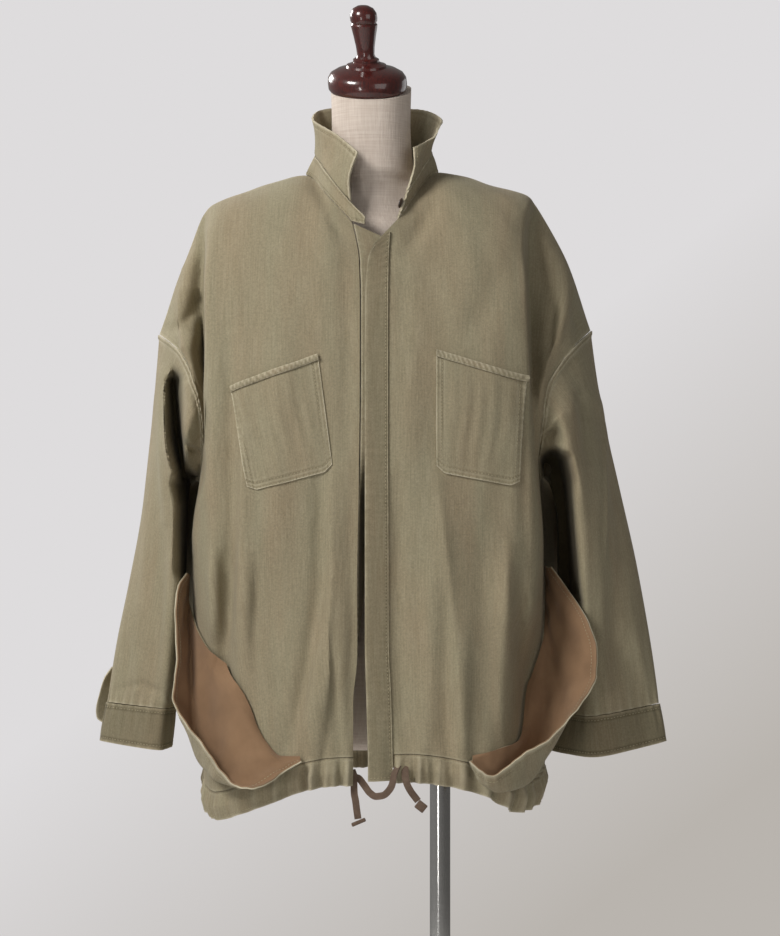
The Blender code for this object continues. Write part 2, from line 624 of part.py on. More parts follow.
def lift_off(points, normals, surface, room, rounds=5):
    """Moves a grid out along its normals until its corners and the middles of its facets
    stand `room` off the surface."""
    points = points.copy()
    nu, nv = points.shape[:2]
    reach = .02
    for _ in range(rounds):
        need = np.zeros((nu, nv))
        for i in range(nu):
            for k in range(nv):
                for i1, k1 in ((i, k), (min(i + 1, nu - 1), k), (i, min(k + 1, nv - 1)),
                               (min(i + 1, nu - 1), min(k + 1, nv - 1))):
                    here = (points[i, k] + points[i1, k1]) / 2
                    out = normals[i, k]
                    _, _, _, far = surface.ray_cast(Vector(here + out * reach), Vector(-out),
                                                    2 * reach)
                    lack = 0 if far is None else room - (far - reach)
                    need[i, k] = max(need[i, k], lack)
                    need[i1, k1] = max(need[i1, k1], lack)
        if need.max() < 1e-5:
            break
        points += normals * need[..., None]
    return points


def clear_of(points, surface, room):
    """Moves points that lie nearer than `room` to a body panel straight out from it."""
    flat = points.reshape(-1, 3).copy()
    for i, point in enumerate(flat):
        near, normal, _, far = surface.find_nearest(Vector(point))
        if near is None or far > .03:
            continue
        outward = np.array([near.x + POLE_SIDE, near.y, 0])
        normal = np.array(normal) * (1 if np.dot(np.array(normal), outward) > 0 else -1)
        gap = np.dot(point - np.array(near), normal)
        if gap < room:
            flat[i] = point + normal * (room - gap)
    return flat.reshape(points.shape)


def seat_edge(edge, surface, room):
    """Puts an edge that is sewn on a panel at `room` from the panel's middle surface, a little
    further out where it goes round the body's corner, and leaves its upper end as it is."""
    seated = edge.copy()
    for i, point in enumerate(edge):
        share = i / (len(edge) - 1)
        near, normal, _, far = surface.find_nearest(Vector(point))
        if far is not None and far < .02:
            out = point - np.array(near)
            normal = np.array(normal) * (1 if np.dot(np.array(normal), out) > 0 else -1)
            there = np.array(near) + normal * (room + .0018 * math.sin(math.pi * share))
            seated[i] += (there - point) * fade((.7 - share) / .25)
    return seated


def make_body(cloth):
    grids, normals = body_grids()
    names = {"right": "front_right", "left": "front_left", "back": "back"}
    for key, name in names.items():
        add_shell(name, pulled(grids[key]), cloth, normals=normals[key])
    return grids, normals


def make_sleeve(side, grids, cloth):
    hole = armhole(side, grids)
    lengths = np.array([0, .06, .13, .20, .27, .35, .44, .54, .64, .75, .87, 1.0])
    points = sleeve_grid(side, hole, lengths)
    step = unit(points[:, 1] - points[:, 0])
    points[:, 0] += step * (CLOTH * 1.4 + GAP)
    sign = 1 if side == "left" else -1
    normals = normals_of(points, True) * sign
    add_shell(f"sleeve_{side}", points, cloth, normals=normals, wrap=True)
    return points


def make_cuff(side, sleeve, cloth):
    count = sleeve.shape[0]
    top = sleeve[:, -1]
    foot = place(ring_of(CUFF_FOOT[side], count))
    lengths = np.array([0, .5, 1])
    points = top[:, None] + (foot - top)[:, None] * lengths[None, :, None]
    middle = points.mean(0)
    outward = unit(points - middle) * np.array([1, 1, 0])
    points = points + outward * np.array([CUFF_EASE, CUFF_EASE * 1.6, CUFF_EASE])[None, :, None]
    points[:, 0] += unit(foot - top) * (GAP * 2 + .0004)
    sign = 1 if side == "left" else -1
    add_shell(f"cuff_{side}", points, cloth, DOUBLE, normals_of(points, True) * sign,
              wrap=True)


def neck_feet(at):
    """Where the collar stand's foot meets the neckline, at the collar's stations `at`."""
    feet = []
    for station in at:
        k = min(int(station), len(COLLAR) - 2)
        share = station - k
        (panel, u, *_), (next_panel, next_u, *_) = COLLAR[k], COLLAR[k + 1]
        if panel is None:
            edge = front("right", np.zeros(1), np.zeros(1))[0]
            feet.append(np.array(STAND_END) * (1 - share) + edge * share)
            continue
        if "back" in (panel, next_panel):
            u = -u if panel == "right" else u
            next_u = -next_u if next_panel == "right" else next_u
            feet.append(back(np.array([u + (next_u - u) * share]), np.zeros(1))[0])
        else:
            feet.append(front(panel, np.array([u + (next_u - u) * share]), np.zeros(1))[0])
    return place(np.array(feet))


def make_collar(cloth):
    """The stand on the neckline and the fall that stands up from it, both double."""
    stations = np.arange(len(COLLAR), dtype=float)
    around = np.linspace(0, len(COLLAR) - 1, 31)
    low = neck_feet(around)
    high = curve(np.c_[stations, place([row[2] for row in COLLAR])], around)
    rise = unit(high - low)
    low, high = low + rise * (CLOTH * .5 + GAP * 2), high - rise * GAP * 1.2
    t = np.array([0, .5, 1])[None, :, None]
    stand = low[:, None] * (1 - t) + high[:, None] * t
    with_fall = slice(3, -3)
    stations, seam, top = stations[1:-1], high[with_fall], [r[3] for r in COLLAR[1:-1]]
    top = curve(np.c_[stations, place(top)], around[with_fall])
    bow = curve(np.c_[stations, [r[4] * GRID for r in COLLAR[1:-1]]], around[with_fall])
    seam = seam + unit(top - seam) * GAP * 2
    t = np.linspace(0, 1, 5)
    fall = seam[:, None] * (1 - t)[None, :, None] + top[:, None] * t[None, :, None]
    fall[..., 0] += bow * np.sin(math.pi * t)[None, :]
    stand_normals, fall_normals = -normals_of(stand), -normals_of(fall)
    shared = unit(stand_normals[with_fall, -1] + fall_normals[:, 0])
    stand_normals[with_fall, -1] = fall_normals[:, 0] = shared
    add_shell("collar_stand", stand, cloth, DOUBLE, stand_normals)
    add_shell("collar", fall, cloth, DOUBLE, fall_normals)


def placket_rows(rows):
    edge = curve([(d, a) for d, a, _ in FRONT_LEFT["edge"][2]], rows)[:, 0]
    seam = curve(((220, 390), (300, 388), (640, 388.5), (700, 391), (781, 393)), rows)[:, 0]
    return edge, np.maximum(seam, edge + 1.5)


def make_placket(surface, cloth):
    """The top layer over the buttons, from the neck to the hem, on the left front."""
    rows = np.array([246, 252, 262, 276, 298, 328, 362, 400, 440, 480, 520, 560, 600, 640,
                     680, 718, 753, 781.5])
    edge, seam = placket_rows(rows)
    t = np.linspace(0, 1, 4)
    across = edge[:, None] * (1 - t) + seam[:, None] * t
    near_top = np.clip(1 - (rows - rows[0]) / 70, 0, 1)
    down = rows[:, None] - NECK_RISE * t[None, :] * near_top[:, None]
    across[:, 0] += near_top * .8
    here, normal = lay_on("left", across, np.minimum(down, 753))
    drop = (down - np.minimum(down, 753)) * GRID * .95
    here[..., 2] -= drop
    here[..., 1] -= drop * .05
    room = CLOTH / 2 + LAID + DOUBLE / 2
    points = lift_off(here + normal * room, normal, surface, room)
    points += normal * (near_top * .001)[:, None, None]
    add_shell("placket", points.transpose(1, 0, 2), cloth, DOUBLE, normal.transpose(1, 0, 2))


def make_button_band(cloth):
    """The band on the right front's edge, which turns in below the chest."""
    rows = np.array([224, 245, 275, 310, 350, 395, 430, 450, 470, 490, 515, 550, 590, 630,
                     660, 700, 756])
    edge = curve([(d, a, z) for d, a, z in FRONT_RIGHT["edge"][2]], rows)
    turn = np.radians(curve(BAND_TURN, rows)[:, 0])
    start = place(np.stack([edge[:, 0], rows, edge[:, 1]], -1))
    slope = np.interp(rows, [224, 300], [12, 0]) * GRID
    w = np.linspace(0, 1, 4)
    out = np.stack([np.cos(turn), np.sin(turn), 0 * turn], -1)
    points = start[:, None] + out[:, None] * (GAP * 4 + w[None, :, None] * BAND_WIDTH)
    points[..., 2] -= slope[:, None] * w[None, :]
    points = points.transpose(1, 0, 2)
    add_shell("button_band", points, cloth, CLOTH, -normals_of(points))


def make_chest_pocket(side, surface, cloth):
    corners = np.array(CHEST_POCKET[side], float)
    s, t = np.linspace(0, 1, 7), np.linspace(0, 1, 7)
    top = corners[0] + (corners[1] - corners[0]) * s[:, None]
    foot = corners[3] + (corners[2] - corners[3]) * s[:, None]
    clip = np.clip(np.abs(s - .5) * 2 - .8, 0, 1) / .2
    foot = foot + (top - foot) * .05 * clip[:, None]
    grid = top[:, None] * (1 - t)[None, :, None] + foot[:, None] * t[None, :, None]
    here, normal = lay_on(side, grid[..., 0], grid[..., 1])
    lift = CLOTH + LAID * 1.5
    points = lift_off(here + normal * lift, normal, surface, lift)
    add_shell(f"chest_pocket_{side}", points, cloth, CLOTH, normal)
    # the folded hem stands on the pocket's own top edge
    strip = grid[:, :1] + (grid[:, 1:2] - grid[:, :1]) * np.linspace(-.06, .40, 2)[None, :, None]
    here, normal = lay_on(side, strip[..., 0], strip[..., 1])
    pocket = surface_of(points)
    room = CLOTH / 2 + LAID + .0007
    points = lift_off(here + normal * (lift + room), normal, surface, lift + room)
    points = lift_off(points, normal, pocket, room)
    add_shell(f"pocket_hem_{side}", points, cloth, .0014, normal)


def pouch_grid(side, count=19, cross=7):
    """Placed grid of a side pouch and its outward side."""
    rows = np.array(POUCH_RIGHT if side == "right" else POUCH_LEFT, float)
    stations = np.linspace(0, 1, len(rows))
    at = np.linspace(0, 1, count)
    lines = [place(curve(np.c_[stations, rows[:, k]], at)) for k in range(3)]
    t = np.linspace(0, 1, cross)[None, :, None]
    low = 2 * lines[1] - (lines[0] + lines[2]) / 2
    line, free = lines[0][:, None], lines[2][:, None]
    return line * (1 - t) ** 2 + low[:, None] * 2 * t * (1 - t) + free * t * t


def make_pouch(side, surface, cloth, lining):
    points = clear_of(pouch_grid(side), surface, POUCH_ROOM)
    points[:, 0] = seat_edge(points[:, 0], surface, POUCH_SEAT)
    sign = -1 if side == "left" else 1
    normals = normals_of(points) * sign
    outer = points + normals * (CLOTH / 2)
    inner = points - normals * (GAP + LINING / 2)
    add_shell(f"side_pouch_{side}", outer, cloth, CLOTH, normals)
    add_shell(f"pouch_lining_{side}", inner, lining, LINING, normals)


def casing_line(grids):
    """The casing's seam from the right edge round the back to the placket's seam."""
    last = -1
    return np.concatenate([grids["right"][:, last], grids["back"][1:, last],
                           grids["left"][::-1][1:, last]])


def hem_top(at, grids):
    line = casing_line(grids)
    steps = np.linalg.norm(np.diff(line, axis=0), axis=1)
    length = np.concatenate([[0], np.cumsum(steps)])
    keep = line[:, 0] * 0 + 1
    return curve(np.c_[length, line], at * length[-1]), length[-1]


def make_casing(grids, cloth):
    count = GATHERS * 2
    at = np.linspace(0, .975, count + 1)
    top, _ = hem_top(at, grids)
    ahead, _ = hem_top(np.minimum(at + .01, 1), grids)
    behind, _ = hem_top(np.maximum(at - .01, 0), grids)
    run = unit((ahead - behind) * np.array([1, 1, 0]))
    out = np.stack([run[:, 1], -run[:, 0], 0 * run[:, 0]], -1)
    wave = np.where(np.arange(count + 1) % 2, 1.0, -1.0)
    seeded = np.random.default_rng(7)
    wave *= .0022 * (.55 + .9 * seeded.random(count + 1))
    drop = CASING_DROP * GRID
    rows = []
    for t, sway, belly in ((0, .12, 0), (.5, .8, .003), (1, 1, -.003)):
        p = top + out * (wave * sway + belly)[:, None]
        p[:, 2] -= drop * t + GAP * 2 * (t == 0)
        rows.append(p)
    points = np.stack(rows, 1)
    normals = np.repeat(out[:, None], 3, 1)
    add_shell("hem_casing", points, cloth, CLOTH, normals)


def loft(name, rings, made, flat_ends=True):
    """A solid through closed rings, listed from one end to the other."""
    rings = np.array(rings)
    count, around = rings.shape[:2]
    faces = [tuple(range(around)), tuple(range((count - 1) * around, count * around))[::-1]]
    for i in range(count - 1):
        for k in range(around):
            j = (k + 1) % around
            faces.append((i * around + k, i * around + j, (i + 1) * around + j,
                          (i + 1) * around + k))
    return add_mesh(name, rings.reshape(-1, 3), faces, made)


def form_ring(z, half, ahead, behind, tilt, throat, around=32):
    a = np.arange(around) * 2 * math.pi / around
    power = .86
    x = half * np.sign(np.cos(a)) * np.abs(np.cos(a)) ** power
    y = np.sin(a)
    y = np.sign(y) * np.abs(y) ** power * np.where(y < 0, -ahead, behind)
    y -= throat * np.exp(-(x / .048) ** 2) * (y < 0)
    lean = math.radians(tilt)
    middle = (ahead + behind) / 2
    rise = (y - middle) * math.sin(lean)
    return np.stack([x - POLE_SIDE + FORM_SIDE, middle + (y - middle) * math.cos(lean),
                     z + FORM_LIFT + rise], -1)


def make_form(linen):
    loft("form_torso", [form_ring(*row) for row in FORM], linen)


def make_cap(wood):
    """The turned cap and knob, spun about the neck's tilted axis."""
    z, _, ahead, behind, tilt, _ = FORM[-1]
    bm = bmesh.new()
    verts = [bm.verts.new((r, 0, h)) for r, h in CAP]
    edges = [bm.edges.new(pair) for pair in zip(verts, verts[1:])]
    bmesh.ops.spin(bm, geom=verts + edges, cent=(0, 0, 0), axis=(0, 0, 1), dvec=(0, 0, 0),
                   angle=2 * math.pi, steps=22, use_merge=True, use_normal_flip=False,
                   use_duplicate=False)
    bmesh.ops.remove_doubles(bm, verts=bm.verts, dist=1e-5)
    lean = math.radians(tilt)
    middle = (ahead + behind) / 2
    axis = np.array([0, -math.sin(lean), math.cos(lean)])
    for vert in bm.verts:
        x, y, h = vert.co
        h += GAP
        vert.co = (x - POLE_SIDE + FORM_SIDE - CAP_SHIFT - h * CAP_LEAN,
                   middle + y * math.cos(lean) + h * axis[1],
                   z + FORM_LIFT + y * math.sin(lean) + h * axis[2])
    bmesh.ops.recalc_face_normals(bm, faces=bm.faces)
    mesh = bpy.data.meshes.new("neck_cap")
    bm.to_mesh(mesh)
    bm.free()
    mesh.materials.append(wood)
    obj = bpy.data.objects.new("neck_cap", mesh)
    bpy.data.collections["shirt_jacket"].objects.link(obj)


def cylinder(name, radius, low, high, made, sides=32, at=(0, 0), bevel=0.0):
    bm = bmesh.new()
    bmesh.ops.create_cone(bm, cap_ends=True, segments=sides, radius1=radius, radius2=radius,
                          depth=high - low)
    for vert in bm.verts:
        vert.co.x += at[0]
        vert.co.y += at[1]
        vert.co.z += (low + high) / 2
    if bevel:
        rims = [e for e in bm.edges if abs(e.verts[0].co.z - e.verts[1].co.z) < 1e-9
                and e.verts[0].co.z > (low + high) / 2]
        bmesh.ops.bevel(bm, geom=rims, offset=bevel, affect="EDGES", segments=2, profile=.5,
                        material=-1)
    mesh = bpy.data.meshes.new(name)
    bm.to_mesh(mesh)
    bm.free()
    mesh.materials.append(made)
    obj = bpy.data.objects.new(name, mesh)
    bpy.data.collections["shirt_jacket"].objects.link(obj)
    return obj


def make_stand(chrome, linen):
    foot = FORM[0][0] + FORM_LIFT
    cylinder("base_plate", BASE_RADIUS, 0, BASE_THICK, chrome, 40, bevel=.003)
    cylinder("pole_socket", .024, BASE_THICK + GAP, BASE_THICK + .03, chrome, 24, bevel=.002)
    cylinder("pole", POLE_RADIUS, BASE_THICK + .03 + GAP, foot - GAP, chrome, 24)


def make_button(horn):
    """The neck button, seen edge on, beside the left end of the collar stand."""
    cylinder("neck_button", .0065, -.0012, .0012, horn, 24, bevel=.0006)
    turn = Vector((-.93, .22, .30)).to_track_quat("Z", "Y").to_matrix().to_4x4()
    middle = Vector(place(NECK_BUTTON))
    bpy.data.objects["neck_button"].data.transform(Matrix.Translation(middle) @ turn)


def ribbon(path, width, thick):
    """Vertices and faces of a flat tape along (across, down, depth, roll) rows."""
    path = np.asarray(path, float)
    at = np.linspace(0, 1, len(path) * 2 - 1)
    rows = curve(np.c_[np.linspace(0, 1, len(path)), path], at)
    line = place(rows[:, :3])
    along = unit(np.gradient(line, axis=0))
    toward = np.array([0.0, -1.0, 0.0])
    flat = unit(np.cross(along, toward))
    face = unit(np.cross(flat, along))
    roll = np.radians(rows[:, 3])[:, None]
    side = flat * np.cos(roll) + face * np.sin(roll)
    face = unit(np.cross(side, along))
    verts = np.concatenate([line + side * a * width / 2 + face * b * thick / 2
                            for a, b in ((1, 1), (-1, 1), (-1, -1), (1, -1))])
    n = len(line)
    faces = [(0, n, 2 * n, 3 * n), (n - 1, 4 * n - 1, 3 * n - 1, 2 * n - 1)]
    for i in range(n - 1):
        for k in range(4):
            j = (k + 1) % 4
            faces.append((k * n + i, k * n + i + 1, j * n + i + 1, j * n + i))
    return verts, faces


def make_drawstring(tape):
    for side, path in TAPES.items():
        add_mesh(f"drawstring_{side}", *ribbon(path, TAPE_WIDTH, TAPE_THICK), tape, flat=True)
    for side, middle, width, height, turn in TAPE_ENDS:
        bm = bmesh.new()
        bmesh.ops.create_cube(bm, size=1)
        size = Matrix.Diagonal((width, .0042, height, 1))
        bm.transform(Matrix.Translation(Vector(place(middle)))
                     @ Matrix.Rotation(math.radians(turn), 4, "Y") @ size)
        bmesh.ops.bevel(bm, geom=bm.edges[:], offset=.0008, affect="EDGES", segments=1,
                        profile=.5, material=-1)
        mesh = bpy.data.meshes.new(f"drawstring_end_{side}")
        bm.to_mesh(mesh)
        bm.free()
        mesh.materials.append(tape)
        obj = bpy.data.objects.new(f"drawstring_end_{side}", mesh)
        bpy.data.collections["shirt_jacket"].objects.link(obj)


def make_cuff_lap(cloth):
    free = np.array([(a, d, 20) for d, a in CUFF_LAP], float)
    held = np.array([(max(a + 6, 113.4), d, 33) for d, a in CUFF_LAP], float)
    t = np.array([0, .5, 1])[:, None, None]
    points = place(free[None] * (1 - t) + held[None] * t)
    add_shell("cuff_lap_right", points, cloth, CLOTH, -normals_of(points))


def main():
    for obj in list(bpy.data.objects):
        bpy.data.objects.remove(obj, do_unlink=True)
    collection = bpy.data.collections.new("shirt_jacket")
    bpy.context.scene.collection.children.link(collection)
    cloth = material("khaki_twill", KHAKI, .9)
    lining = material("brown_lining", BROWN, .85)
    linen = material("linen_cover", LINEN, .9)
    wood = material("mahogany", MAHOGANY, .15)
    chrome = material("chrome_steel", CHROME, .18, 1.0)
    tape = material("woven_tape", TAPE, .85)
    horn = material("horn_button", HORN, .35)
    grids, _ = make_body(cloth)
    surfaces = {key: surface_of(grid) for key, grid in grids.items()}
    for side in ("right", "left"):
        sleeve = make_sleeve(side, grids, cloth)
        make_cuff(side, sleeve, cloth)
        make_chest_pocket(side, surfaces[side], cloth)
        make_pouch(side, surfaces[side], cloth, lining)
    make_collar(cloth)
    make_button(horn)
    make_cuff_lap(cloth)
    make_drawstring(tape)
    make_placket(surfaces["left"], cloth)
    make_button_band(cloth)
    make_casing(grids, cloth)
    make_form(linen)
    make_cap(wood)
    make_stand(chrome, linen)


main()
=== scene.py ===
"""Studio scene of a garment-washed twill shirt jacket on a limbless dress form.

Cloth is laid out in front elevation: `across` and `down` count GRID squares as they are seen
from the eye point, and `depth` is millimetres behind the form's axis. `place` turns the three
into metres in the frame. Every cloth piece is a grid of points with outward normals, which is
creased and seamed where it lies and then becomes a closed wall of cloth.
"""
import math

import bmesh
import bpy
import numpy as np
from mathutils import Matrix, Vector
from mathutils.bvhtree import BVHTree


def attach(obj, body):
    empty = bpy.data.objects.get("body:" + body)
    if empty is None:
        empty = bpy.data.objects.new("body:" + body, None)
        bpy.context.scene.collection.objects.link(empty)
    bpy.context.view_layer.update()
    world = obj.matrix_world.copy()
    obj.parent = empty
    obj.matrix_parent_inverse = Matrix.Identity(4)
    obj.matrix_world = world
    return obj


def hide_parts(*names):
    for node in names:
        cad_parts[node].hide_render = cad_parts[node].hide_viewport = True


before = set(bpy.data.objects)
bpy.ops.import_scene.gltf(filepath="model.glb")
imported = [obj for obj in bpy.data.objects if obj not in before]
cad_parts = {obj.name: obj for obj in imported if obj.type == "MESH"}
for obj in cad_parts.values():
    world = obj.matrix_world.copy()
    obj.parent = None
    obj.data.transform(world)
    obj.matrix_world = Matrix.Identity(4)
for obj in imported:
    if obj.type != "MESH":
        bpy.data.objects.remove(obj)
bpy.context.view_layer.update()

# Driving sizes, in metres
GRID = 0.00127             # one square of the front elevation, at the form's axis
EYE_FAR, EYE_UP, EYE_SIDE = 3.2, 0.972, 0.0254
AXIS_ACROSS, LEVEL_DOWN = 390.0, 468.0     # the square straight ahead of the eye point
POLE_SIDE = 0.089          # the stand's pole is this far to the left side of the form's axis
FORM_SIDE, FORM_LIFT = .0015, .0018        # the torso's seat on the stand
FORM_SKIN = .0006          # the fine cover lies this far inside the solid's corners
CLOTH = 0.0015             # wall of one layer of twill
DOUBLE = 0.0022            # wall of collar, cuffs and placket
LINING = 0.0010
HEM = 0.0014
GAP = 0.0003               # between pieces at a seam
LAID = 0.0005              # between a panel and what is sewn on it
CASING_DROP = 27.5         # squares from the casing's seam to the hem
NECK_RISE = 14.0           # squares that the neckline rises across the placket
BAND_WIDTH = 0.035
CUFF_EASE = 0.0012
POUCH_SEAT = 0.0030
POUCH_ROOM = 0.0040        # from a pouch's middle surface to the panel beside it
TAPE_WIDTH, TAPE_THICK = 0.0084, 0.0012
GATHERS = 118              # waves of the hem casing
SEAM_ALLOWANCE = .0045     # of the casing, up inside the panels' feet
# stitches are 3 mm apart and .4 mm thick, drawn coarser so that they show
STITCH_PITCH, STITCH_LONG, STITCH_THICK = .0042, .0031, .00115

MIDDLE = 370.0             # the form's axis, in squares across
UNDERARM = 0.45            # share of a panel's length above the underarm
UNDERARM_DOWN = 463        # the underarm's level at the centre back
ROWS_ABOVE, ROWS_BELOW = 96, 112           # rows of a body panel above and below the underarm
FRONT_PART, SIDE_PART = 24, 88             # columns of a front inside and outside its neck point
EASE_PASSES = 160          # of the blur that softens the back's bend at the underarm
EASE_REACH = 24            # rows above and below that it reaches
EASE_FROM, EASE_OVER = 46, 26              # it sets in so many columns from the side seams
# How much the rows of each guide line sag between the top and the underarm
SAG = {"edge": 0, "throat": .1, "neck": .3, "chest": .5, "corner": .7, "valley": .75,
       "wing": .5, "seam": 0}

AT_NECK = 0.22             # place across a front or half the back where the neck meets it

# Guide lines of the fronts, from the shoulder or neck to the casing seam.
# name: (place across the panel, down at the underarm level, rows of (down, across, depth))
FRONT_RIGHT = {
    "edge": (0.0, 463, ((222, 352, -90), (235, 355, -97), (260, 359, -108), (300, 360, -122),
                        (380, 360, -140), (480, 359, -150), (600, 357, -152),
                        (655, 357, -155), (704, 353, -160), (757, 353, -166))),
    "throat": (0.11, 463, ((200, 331, -66), (215, 330, -88), (250, 330, -108),
                           (300, 329, -124), (380, 329, -140), (480, 328, -149),
                           (600, 327, -152), (700, 327, -160), (758, 330, -167))),
    "neck": (0.22, 463, ((176, 306, 5), (183, 305, -27), (195, 304, -55), (215, 302, -78),
                         (250, 300, -103), (300, 299, -122), (380, 298, -138),
                         (480, 297, -147), (600, 296, -150), (700, 300, -158),
                         (763, 303, -165))),
    "chest": (0.40, 463, ((187, 262, 5), (193, 261, -26), (205, 260, -52), (230, 258, -80),
                          (270, 256, -103), (330, 255, -122), (400, 254, -133),
                          (480, 253, -138), (600, 254, -142), (700, 262, -152),
                          (776, 268, -158))),
    "corner": (0.60, 463, ((207, 211, 5), (214, 210, -25), (230, 209, -52),
                           (260, 208.5, -76), (300, 208, -95), (360, 207.5, -106),
                           (420, 206.5, -110), (463, 206.5, -112), (548, 209, -115),
                           (613, 213, -116), (660, 219, -106), (720, 224, -98),
                           (792, 217, -116))),
    "valley": (0.72, 468, ((216, 204, 5), (225, 205, -10), (245, 205.5, -22),
                           (280, 205.8, -28), (320, 206, -32), (345, 206, -38),
                           (371, 206, -52), (395, 206, -68), (420, 206, -82),
                           (445, 205.5, -86), (468, 205, -82), (500, 200, -80),
                           (548, 197, -78), (613, 198, -74), (700, 204, -66),
                           (787, 208, -74))),
    "wing": (0.85, 474, ((277, 180, 5), (290, 178.5, -14), (312, 178, -36), (335, 182, -54),
                         (360, 190, -69), (385, 197.5, -80), (402, 202, -87),
                         (425, 204, -86), (449, 204, -74), (474, 201, -42),
                         (548, 193, -40), (600, 193.5, -38), (700, 200, -30),
                         (780, 205, -36))),
    "seam": (1.0, 479, ((335, 160, 5), (342, 170, -28), (351, 180, -50), (359, 185, -60),
                        (371, 191, -70), (389, 196, -79), (412, 201, -83),
                        (432, 203.5, -76), (455, 203, -55), (479, 200, -8),
                        (540, 199, 0), (613, 200, 4), (700, 203, 5), (768, 206, 5))),
}
FRONT_LEFT = {
    "edge": (0.0, 463, ((244, 373.5, -109), (258, 367.5, -115), (296, 365, -126),
                        (400, 364.5, -148), (520, 364.5, -156), (640, 364.5, -158),
                        (700, 366, -162), (756, 367.5, -168))),
    "throat": (0.11, 463, ((219.5, 397, -88), (236, 399, -98), (262, 403, -114),
                           (300, 406, -126), (380, 407, -145), (480, 406, -153),
                           (600, 406, -155), (700, 408, -160), (754, 410, -166))),
    "neck": (0.22, 463, ((173, 439, 5), (182, 440, -27), (195, 441, -55), (215, 442, -78),
                         (250, 444, -103), (300, 446, -122), (380, 446, -140),
                         (480, 444, -149), (600, 444, -152), (700, 446, -158),
                         (758, 448, -165))),
    "chest": (0.40, 463, ((185, 488, 5), (191, 489, -26), (205, 490, -54), (230, 491, -82),
                          (270, 492, -105), (330, 491, -124), (400, 490, -136),
                          (480, 489, -142), (600, 489, -146), (700, 488, -154),
                          (768, 487, -160))),
    "corner": (0.60, 463, ((197, 528, 5), (204, 527, -22), (225, 523, -50),
                           (253, 520, -76), (301, 522, -97), (376, 525, -109),
                           (433, 527, -113), (463, 530, -115), (560, 534, -118),
                           (600, 533, -118), (640, 516, -122), (690, 511, -126),
                           (740, 513, -128), (784, 519, -128))),
    "valley": (0.72, 468, ((206, 535, 5), (216, 533, -8), (243, 530, -20),
                           (290, 529, -30), (326, 530, -36), (355, 530, -50),
                           (386, 530, -74), (415, 531, -90), (447, 533, -90),
                           (468, 535, -84), (500, 538, -80), (548, 541, -78),
                           (610, 539, -72), (667, 527, -68), (717, 525, -68),
                           (780, 533, -80))),
    "wing": (0.85, 474, ((263, 567, 5), (275, 568, -12), (300, 569, -34), (325, 562, -52),
                         (348, 553, -66), (372, 546, -78), (395, 541, -86),
                         (425, 539, -85), (449, 537, -72), (474, 538, -42),
                         (548, 543, -40), (600, 543, -38), (700, 537, -30),
                         (772, 541, -38))),
    "seam": (1.0, 479, ((331, 590, 5), (342, 578, -30), (352, 569, -50), (362, 561, -61),
                        (375, 552, -71), (384, 548, -76), (402, 545, -81),
                        (417, 543, -81), (430, 541, -77), (448, 539, -58),
                        (479, 537, -8), (540, 541, 0), (613, 542, 4), (700, 541, 5),
                        (764, 544, 5))),
}
# Centre back: down, depth
CENTRE_BACK = ((176, 60), (186, 76), (200, 90), (240, 106), (300, 120), (380, 126),
               (480, 129), (600, 137), (700, 149), (741, 153))
BACK_DEPTH = 0.88          # depth of the back beside the front's
BACK_FLARE = {"corner": 22, "valley": 18}   # squares that the back's sides stand out
# Largest folds of the fronts: side, across and down at the top, the same at the foot,
# half width in squares, height in mm towards the front (negative is a trough)
FOLDS = (
    ("right", 246, 540, 240, 690, 9, 7), ("right", 228, 520, 226, 690, 9, -10),
    ("right", 213, 540, 215, 625, 6, 6), ("right", 345, 560, 340, 765, 8, 4),
    ("right", 322, 640, 316, 765, 8, 5), ("right", 284, 300, 276, 560, 16, 4),
    ("left", 507, 540, 503, 720, 8, 6), ("left", 521, 560, 519, 660, 7, -8),
    ("left", 433, 520, 428, 755, 10, 5), ("left", 466, 600, 462, 755, 9, 5),
    ("left", 449, 560, 446, 755, 8, -4), ("left", 412, 300, 408, 480, 12, 3),
)
# Collar stations from the right front round the back to the left front: where the stand's
# foot meets the neckline (panel, place across it), then the stand's seam and the fall's top
# edge, each (across, down, depth), and the bow of the fall
COLLAR = (
    (None, 0, (365, 216, -96), None, 0),
    ("right", 0, (350, 201, -82), (358, 152, -86), -4),
    ("right", .11, (331, 178, -60), (337, 134.5, -54), 1),
    ("right", .22, (316, 155, -2), (312, 118, -6), 2),
    ("back", -.11, (327, 150, 40), (321, 110, 46), 1),
    ("back", 0, (370, 150, 62), (370, 107.5, 73), 0),
    ("back", .11, (415, 149, 40), (424, 110.5, 48), -1),
    ("left", .22, (431, 152, -1), (442, 121, 4), -2),
    ("left", .165, (419, 173, -50), (430, 139, -36), -1),
    ("left", .13, (408, 191, -70), (414, 147, -58), 3),
    ("left", .112, (401.5, 209, -84), None, 0),
)
STAND_END = (364, 225, -96)
COLLAR_STEPS = 12          # columns of the collar between two stations
